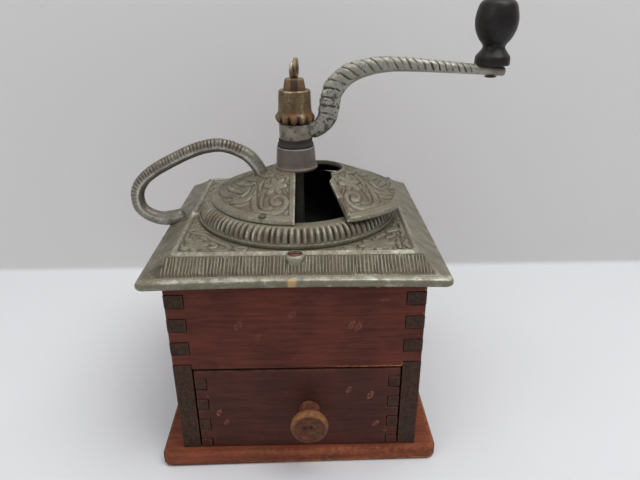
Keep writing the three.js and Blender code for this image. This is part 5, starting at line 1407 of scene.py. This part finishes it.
# the brass nut: a barrel whose skirt swells into round lobes, a faceted top and the eye's two wire loops
def makeNut(n):
    angle = circle(n["sides"])
    low, skirtTop = n["bottom"], n["bottom"] + n["skirtHeight"]
    barrelTop = low + n["skirtHeight"] + n["barrelHeight"]
    lobe = np.abs(np.cos(angle * n["lobes"] / 2 + 0.3)) ** 0.6
    share = np.linspace(0, 1, 17)[:, None]
    rounded = np.sqrt(np.clip(1 - (share / n["ballShare"] - 1) ** 2, 0, 1))
    ball = np.where(share < n["ballShare"], rounded, fall(n["ballShare"], 1, share))
    body = lerp(n["footRadius"], n["barrelRadius"], share)
    skirtR = body + (n["skirtRadius"] - body) * ball * lerp(lobe, 1, 0.6 * ramp(0.4, 0.75, share))
    skirtZ = lerp(low + 2.6 * (1 - lobe), skirtTop + 0.5, share)
    crown = n["crownRadius"]
    upper = np.array([
        (n["barrelRadius"] - 0.1, skirtTop + 0.9), (n["barrelRadius"] - 0.3, skirtTop + 4),
        (n["shoulderRadius"], skirtTop + 9), (crown + 0.25, barrelTop - 1.2), (crown + 0.3, barrelTop - 0.5),
        (crown - 0.3, barrelTop), (1.0, barrelTop), (n["bore"], low + n["boreTop"] + 1), (n["bore"], low + 1.4),
    ])
    radius = np.vstack([skirtR, upper[:, :1] + 0 * angle])
    height = np.vstack([skirtZ, upper[:, 1:] + 0 * angle])
    points = np.stack([radius * np.cos(angle), radius * np.sin(angle), height], -1)
    upright = lumps(points * [1, 1, 0.12], 1.7, 54)
    points[..., :2] *= (1 + (0.012 * lumps(points, 2.2, 51) + 0.008 * upright) * (radius > 9))[..., None]
    up = points[..., 2] - low
    gap = 1 - lobe
    relief = 0.5 + 0.4 * bell(up - 20.2, 0.5) - 0.9 * gap * fall(2.5, 5.5, up)
    relief += 0.3 * upright + 0.2 * (lobe > 0.75) * bell(up - 2.6, 1.2)
    stain = 0.8 * bell(up - 6.5, 3.5) * ramp(-0.4, 0.4, lumps(points, 4.0, 52))
    stain = np.maximum(stain, 0.6 * (up < 6) * ramp(-0.1, 0.5, lumps(points, 3.0, 53)))
    # painted shade in the gaps at the lobes' feet and in the bore
    deep = 0.9 * gap * (up < 2.6) + 0 * up
    deep[-2:] = 0.9
    shells = [gridShell(points, rowsLoop=True, relief=np.clip(relief, -0.2, 1.1), stain=stain, deep=deep)]
    corner = np.radians(n["cornerAngles"] + [n["cornerAngles"][0] + 360]) - math.pi / 2
    spot = np.linspace(0, len(corner) - 1, n["outlinePlaces"])[:-1]
    outline = np.stack([np.interp(spot, np.arange(len(corner)), f(corner)) for f in (np.cos, np.sin)], -1)
    levels = np.array([(0.5, -0.3), (1.0, -0.3), (1.0, 0.2), (0.86, 6.2), (0.80, 6.8), (0.70, 7.0), (0.1, 7.0)])
    top = np.concatenate([outline[None] * (levels[:, :1] * n["topRadius"])[:, None, :],
                          (barrelTop + levels[:, 1:])[:, None, :] + 0 * outline[None, :, :1]], -1)
    # the top's front faces painted dark as shade
    onFront = ramp(0.93, 0.965, -outline[:, 1] / np.hypot(*outline.T))[None, :] * (levels[:, :1] > 0.75)
    reliefTop = 0.58 + 0.2 * (levels[:, :1] < 0.84)
    shells.append(gridShell(top, relief=reliefTop, deep=0.7 * onFront, stain=0.25 + 0 * onFront))
    shells += [eyeLoop(n, eye, barrelTop + n["topHeight"] - 0.8) for eye in n["eyes"]]
    makePiece("brassNut", shells, "regulator", finishes["agedBrass"], ["regulator_nut"], 30)
    print("nut made")


knobSizes = {
    "x": 124.0, "seat": 239.9, "radius": 13.4, "height": 39.0, "bore": 2.9, "sinkRadius": 4.6,
    "sinkDepth": 2.0,
    "radiusShares": [0.78, 0.80, 0.80, 0.79, 0.75, 0.63, 0.53, 0.505, 0.56, 0.72, 0.9, 0.965, 0.91, 0.78,
                     0.56],
    "heightShares": [0, 0.015, 0.09, 0.125, 0.15, 0.2, 0.25, 0.28, 0.32, 0.39, 0.52, 0.67, 0.8, 0.92, 0.975],
}
drawerKnobSizes = {
    "x": 6.9, "front": -83.8, "z": 42.0, "radius": 11.5, "length": 19.0, "sides": 96,
    "radiusShares": [0.54, 0.58, 0.52, 0.42, 0.395, 0.44, 0.62, 0.86, 0.97, 1.0, 0.97, 0.88],
    "lengthShares": [0, 0.04, 0.11, 0.2, 0.34, 0.46, 0.56, 0.65, 0.73, 0.82, 0.92, 0.985],
    "dents": [(-3.0, 0.6), (1.2, 1.2)], "dentRadius": 1.5, "dentDepth": 0.8,
}
washerSizes = {
    "low": 190.3, "high": 194.7,
    "levels": [  # radius, share of the height, relief
        (5.4, 0, 0.3), (11.5, 0, 0.5), (11.9, 0.12, 0.75), (11.75, 0.28, 0.6), (11.0, 0.6, 0.35),
        (11.0, 0.85, 0.3), (11.1, 0.95, 0.4), (10.8, 1, 0.5), (5.4, 1, 0.3),
    ],
}


# the crank's black knob, bored for its pin
def makeCrankKnob(k):
    shares = np.column_stack([k["radiusShares"], k["heightShares"]])
    outline = throughPoints(shares * [k["radius"], k["height"]], 5)
    sunk = k["height"] - k["sinkDepth"]
    top = [[(outline[-1, 0] + k["sinkRadius"]) / 2, k["height"]], [k["sinkRadius"], k["height"] - 0.1]]
    inside = [[k["sinkRadius"], sunk], [k["bore"], sunk], [k["bore"], 0]]
    profile = np.vstack([outline, top, inside]) + [0, k["seat"]]
    up = (profile[:, 1:] - k["seat"]) / k["height"]
    worn = 0.5 * bell(up - 0.02, 0.02) + 0.35 * bell(up - 0.98, 0.02) + 0.12
    shell = turnedShell(profile, 72, k["x"], 0, True, worn=worn)
    makePiece("blackKnob", [shell], "knob", blackWood, ["crank_knob"])


# the drawer's knob: turned about a line along -Y, its face a little hollow with two dents
def makeDrawerKnob(k):
    shares = np.column_stack([k["radiusShares"], k["lengthShares"]])
    outline = throughPoints(shares * [k["radius"], k["length"]], 4)
    shares = np.linspace(1, 0.02, 14)[1:]
    face = np.column_stack([outline[-1, 0] * shares, k["length"] - 0.2 - 0.5 * (1 - shares ** 2)])
    angle = circle(k["sides"])
    profile = np.vstack([outline, face])
    x, z = profile[:, :1] * np.cos(angle), profile[:, :1] * np.sin(angle)
    out = profile[:, 1:] + 0 * angle
    onFace = (np.arange(len(profile)) >= len(outline))[:, None]
    dent = np.zeros(x.shape)
    for dentX, dentZ in k["dents"]:
        dent = np.maximum(dent, bell(np.hypot(x - dentX, z - dentZ), k["dentRadius"]) * onFace)
    out = out - k["dentDepth"] * dent
    radius = np.hypot(x, z) / k["radius"]
    rim = ramp(0.8, 0.94, radius) * ramp(0.5, 0.62, profile[:, 1:] / k["length"])
    worn = 0.8 * rim * lerp(0.35, 1, ramp(-0.5, 0.6, z / k["radius"]))
    worn = np.maximum(worn, 0.3 * ramp(0.0, 0.5, lumps(np.stack([x, z, out], -1), 3.0, 81)))
    # painted shade in the dents, round the face's ring and toward its middle
    deep = 0.6 * dent + 0.3 * bell(radius - 0.74, 0.04) * onFace
    deep += 0.2 * fall(0.2, 0.7, radius) * onFace
    points = np.stack([k["x"] + x, k["front"] - out, k["z"] + z], -1)
    shell = gridShell(points, worn=worn, deep=deep)
    makePiece("tanKnob", [shell], "drawer", knobWood, ["drawer_knob"])
    print("knobs made")


# the washer under the crank: a bored disc that narrows upward
def makeWasher(w):
    radius, share, relief = (np.array(w["levels"])[:, [column]] for column in range(3))
    profile = np.hstack([radius, w["low"] + share * (w["high"] - w["low"])])
    shell = turnedShell(profile, bored=True, relief=relief)
    makePiece("leatherWasher", [shell], "case", finishes["leather"], ["collar_washer"])


# each board's wood, grain, body, slot, how far its edges are rounded, and its front's scuffs:
# x, z, half width, half height and strength
boxBoard = {"look": "box", "body": "case", "slot": "box_wood"}
drawerBoard = {"look": "drawer", "body": "drawer", "slot": "drawer_wood"}
drawerSide = {**drawerBoard, "along": "Y", "round": 0.7, "plainBelow": 19.0}
boards = {
    "base_board": {"look": "base", "along": "X", "body": "case", "slot": "base_wood", "round": 1.4},
    "left_side_board": {**boxBoard, "along": "Y", "round": 0.0},
    "right_side_board": {**boxBoard, "along": "Y", "round": 0.0},
    "front_board": {
        **boxBoard, "look": "front", "along": "X", "round": 0.7,
        "scuffs": [(-34.0, 104.1, 2.2, 3.4, 0.35), (-22.7, 96.3, 1.5, 3.0, 0.3), (-2.3, 111.1, 2.0, 2.4, 0.3),
                   (32.7, 103.6, 1.7, 3.0, 0.55), (36.6, 102.2, 1.8, 3.4, 0.55), (51.4, 120.2, 2.8, 1.2, 0.55)],
    },
    "back_board": {**boxBoard, "along": "X", "round": 0.5},
    "drawer_front": {
        **drawerBoard, "along": "X", "round": 0.9, "skip": (65.9, 66.4),
        "scuffs": [(-50.2, 39.6, 1.5, 2.6, 0.85), (-46.0, 31.8, 1.4, 2.5, 0.7), (31.8, 56.1, 1.5, 2.5, 0.85),
                   (45.3, 51.5, 1.8, 3.2, 0.85), (49.4, 28.7, 2.0, 2.2, 0.85), (-56.9, 51.5, 1.1, 2.0, 0.5),
                   (56.0, 22.5, 1.2, 1.1, 0.7)],
    },
    "drawer_back": {**drawerBoard, "along": "X", "round": 0.4},
    "drawer_left_side": drawerSide,
    "drawer_right_side": drawerSide,
    "drawer_bottom": {**drawerBoard, "along": "Y", "round": 0.0},
}
# which edges are rounded: those sharper than an angle in degrees and longer than a length in metres, once
# points nearer than the merging distance in metres are one
rounding = {"sharper": 40, "longer": 0.0018, "merge": 1e-5, "segments": 2}


# a board's own closed mesh from its solid: doubles merged, its long sharp edges marked for rounding
def boardMesh(node, board):
    form = bmesh.new()
    form.from_mesh(bpy.data.objects[node].data)
    bmesh.ops.remove_doubles(form, verts=form.verts, dist=rounding["merge"])
    weight = form.edges.layers.float.new("bevel_weight_edge")
    low, high = (value / perMetre for value in board.get("skip", (0, 0)))
    for edge in form.edges:
        sharp = len(edge.link_faces) == 2 and edge.calc_face_angle() > math.radians(rounding["sharper"])
        skipped = all(low < vertex.co.z < high for vertex in edge.verts)
        edge[weight] = float(sharp and not skipped and edge.calc_length() > rounding["longer"])
    mesh = bpy.data.meshes.new(node + "Wood")
    form.to_mesh(mesh)
    form.free()
    mesh.shade_smooth()
    mesh.set_sharp_from_angle(angle=math.radians(creaseAngle))
    return mesh


# every board: its own mesh and wood, its edges rounded where its rounding isn't zero and flat faces where it is
def makeBoards():
    worn = {name: makeWornWood(name + "Worn", look) for name, look in woodLooks.items()}
    for node, board in boards.items():
        low, high = ([value * perMetre for value in corner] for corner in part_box(node))
        mesh = boardMesh(node, board)
        marks = board.get("scuffs", ()), board.get("plainBelow")
        mesh.materials.append(makeWood(node + "Wood", woodLooks[board["look"]], board["along"], low, high, *marks))
        mesh.materials.append(worn[board["look"]])
        piece = addPiece(node + "Wood", mesh, board["body"], [node])
        if board["round"]:
            bevel = piece.modifiers.new("softEdges", "BEVEL")
            bevel.width, bevel.segments = board["round"] / perMetre, rounding["segments"]
            bevel.limit_method, bevel.material = "WEIGHT", 1
            bevel.use_clamp_overlap = False
            piece.modifiers.new("evenShading", "WEIGHTED_NORMAL").keep_sharp = True
        else:
            mesh.shade_flat()
    print("boards made")


cameraSizes = {
    "place": (9.7, -350.4, 278.7), "yaw": 0.98, "pitch": 24.23, "roll": -0.35, "focal": 537.6,
    "imageWidth": 640, "sensor": 36.0, "nearest": 0.01,
}


# the camera's axes from its turn to the right, its look downwards and its roll
def makeCamera(s):
    yaw, pitch, roll = (math.radians(s[name]) for name in ("yaw", "pitch", "roll"))
    ahead = np.array([math.sin(yaw) * math.cos(pitch), math.cos(yaw) * math.cos(pitch), -math.sin(pitch)])
    level = np.array([math.cos(yaw), -math.sin(yaw), 0])
    upright = np.cross(level, ahead)
    data = bpy.data.cameras.new("camera")
    data.sensor_width = s["sensor"]
    data.lens = s["focal"] / s["imageWidth"] * s["sensor"]
    data.clip_start = s["nearest"]
    camera = addObject("camera", data)
    matrix = np.eye(4)
    matrix[:3, 0] = level * math.cos(roll) + upright * math.sin(roll)
    matrix[:3, 1] = upright * math.cos(roll) - level * math.sin(roll)
    matrix[:3, 2] = -ahead
    matrix[:3, 3] = np.array(s["place"]) / perMetre
    camera.matrix_world = Matrix(matrix.tolist())
    bpy.context.scene.camera = camera


stageSizes = {
    "wallY": 192.0, "floorReach": 3000.0, "wallHeight": 2500.0, "cove": 6.0, "coveRows": 9,
    "wallFrom": (0.001, 0.005), "roughness": 0.9,
    "floorColour": paint(222, 223, 225), "wallColour": paint(219, 217, 216),
}


# the floor and the wall behind: a profile of floor, small cove and wall carried along X
def makeStage(s):
    bend = np.linspace(0, math.pi / 2, s["coveRows"])
    y = np.concatenate([[-s["floorReach"]], s["wallY"] - s["cove"] + s["cove"] * np.sin(bend), [s["wallY"]]])
    z = np.concatenate([[0], s["cove"] - s["cove"] * np.cos(bend), [s["wallHeight"]]])
    x = np.array([-1, 1]) * s["floorReach"]
    grid = np.stack(np.broadcast_arrays(x[None, :], y[:, None], z[:, None]), -1) / perMetre
    faces = [(2 * row, 2 * row + 1, 2 * row + 3, 2 * row + 2) for row in range(len(y) - 1)]
    mesh = bpy.data.meshes.new("backdrop")
    mesh.from_pydata(grid.reshape(-1, 3).tolist(), [], faces)
    mesh.shade_smooth()
    material = bpy.data.materials.new("backdropPaper")
    material.use_nodes = True
    tree = material.node_tree
    shader = tree.nodes["Principled BSDF"]
    height = split(tree, addNode(tree, "ShaderNodeTexCoord").outputs["Object"])[2]
    colour = mixColour(tree, remap(tree, height, *s["wallFrom"]), s["floorColour"], s["wallColour"])
    feed(tree, shader, {"Base Color": colour, "Roughness": s["roughness"]})
    clear = addNode(tree, "ShaderNodeBsdfTransparent").outputs[0]
    behind = addNode(tree, "ShaderNodeNewGeometry").outputs["Backfacing"]
    mixed = addNode(tree, "ShaderNodeMixShader", {0: behind, 1: shader.outputs[0], 2: clear}).outputs[0]
    tree.links.new(mixed, tree.nodes["Material Output"].inputs[0])
    mesh.materials.append(material)
    addObject("backdrop", mesh)


lightSizes = {
    "lamps": {
        "keyLamp": {"place": (0.55, -0.35, 1.45), "size": 0.9, "power": 11.0},
        "fillLamp": {"place": (-1.0, -0.8, 1.0), "size": 1.2, "power": 4.5},
        "topLamp": {"place": (-0.1, 0.05, 1.6), "size": 1.0, "power": 7.0},
    },
    "aim": (0, 0, 0.12), "worldColour": (0.87, 0.89, 0.92, 1), "worldStrength": 0.36,
}


# three soft square lamps that look at the object, and a pale world
def makeLights(s):
    for name, lamp in s["lamps"].items():
        data = bpy.data.lights.new(name, "AREA")
        data.energy, data.size = lamp["power"], lamp["size"]
        light = addObject(name, data)
        light.location = lamp["place"]
        toward = np.array(s["aim"]) - np.array(lamp["place"])
        tilt = math.acos(-toward[2] / np.linalg.norm(toward))
        light.rotation_euler = (tilt, 0, math.atan2(toward[1], toward[0]) - math.pi / 2)
    world = bpy.data.worlds.new("studio")
    bpy.context.scene.world = world
    world.use_nodes = True
    background = world.node_tree.nodes["Background"]
    background.inputs["Color"].default_value = s["worldColour"]
    background.inputs["Strength"].default_value = s["worldStrength"]


# the solids that stay as they are get their slot's finish
slotFinish = {
    "cast_iron": "castIron", "crank_iron": "castIron", "burr_iron": "innerIron", "steel": "steel",
    "rusty_steel": "rustySteel",
}


def dressSolids():
    for part in frame["record"]["subparts"]:
        if part["material_slot"] in slotFinish:
            mesh = bpy.data.objects[part["node"]].data
            mesh.materials.clear()
            mesh.materials.append(plainFinishes[slotFinish[part["material_slot"]]])
    print("solids dressed")


makePlate(plateSizes)
makeBands(bandSizes)
makeHopper(hopperSizes)
makeCover(coverSizes)
makeLid(lidSizes)
makeHandle(handleSizes)
makeCrank(crankSizes)
makeNut(nutSizes)
makeCrankKnob(knobSizes)
makeDrawerKnob(drawerKnobSizes)
makeWasher(washerSizes)
makeBoards()
dressSolids()
makeCamera(cameraSizes)
makeStage(stageSizes)
makeLights(lightSizes)
bpy.context.scene.view_settings.view_transform = "Standard"

print("scene made")
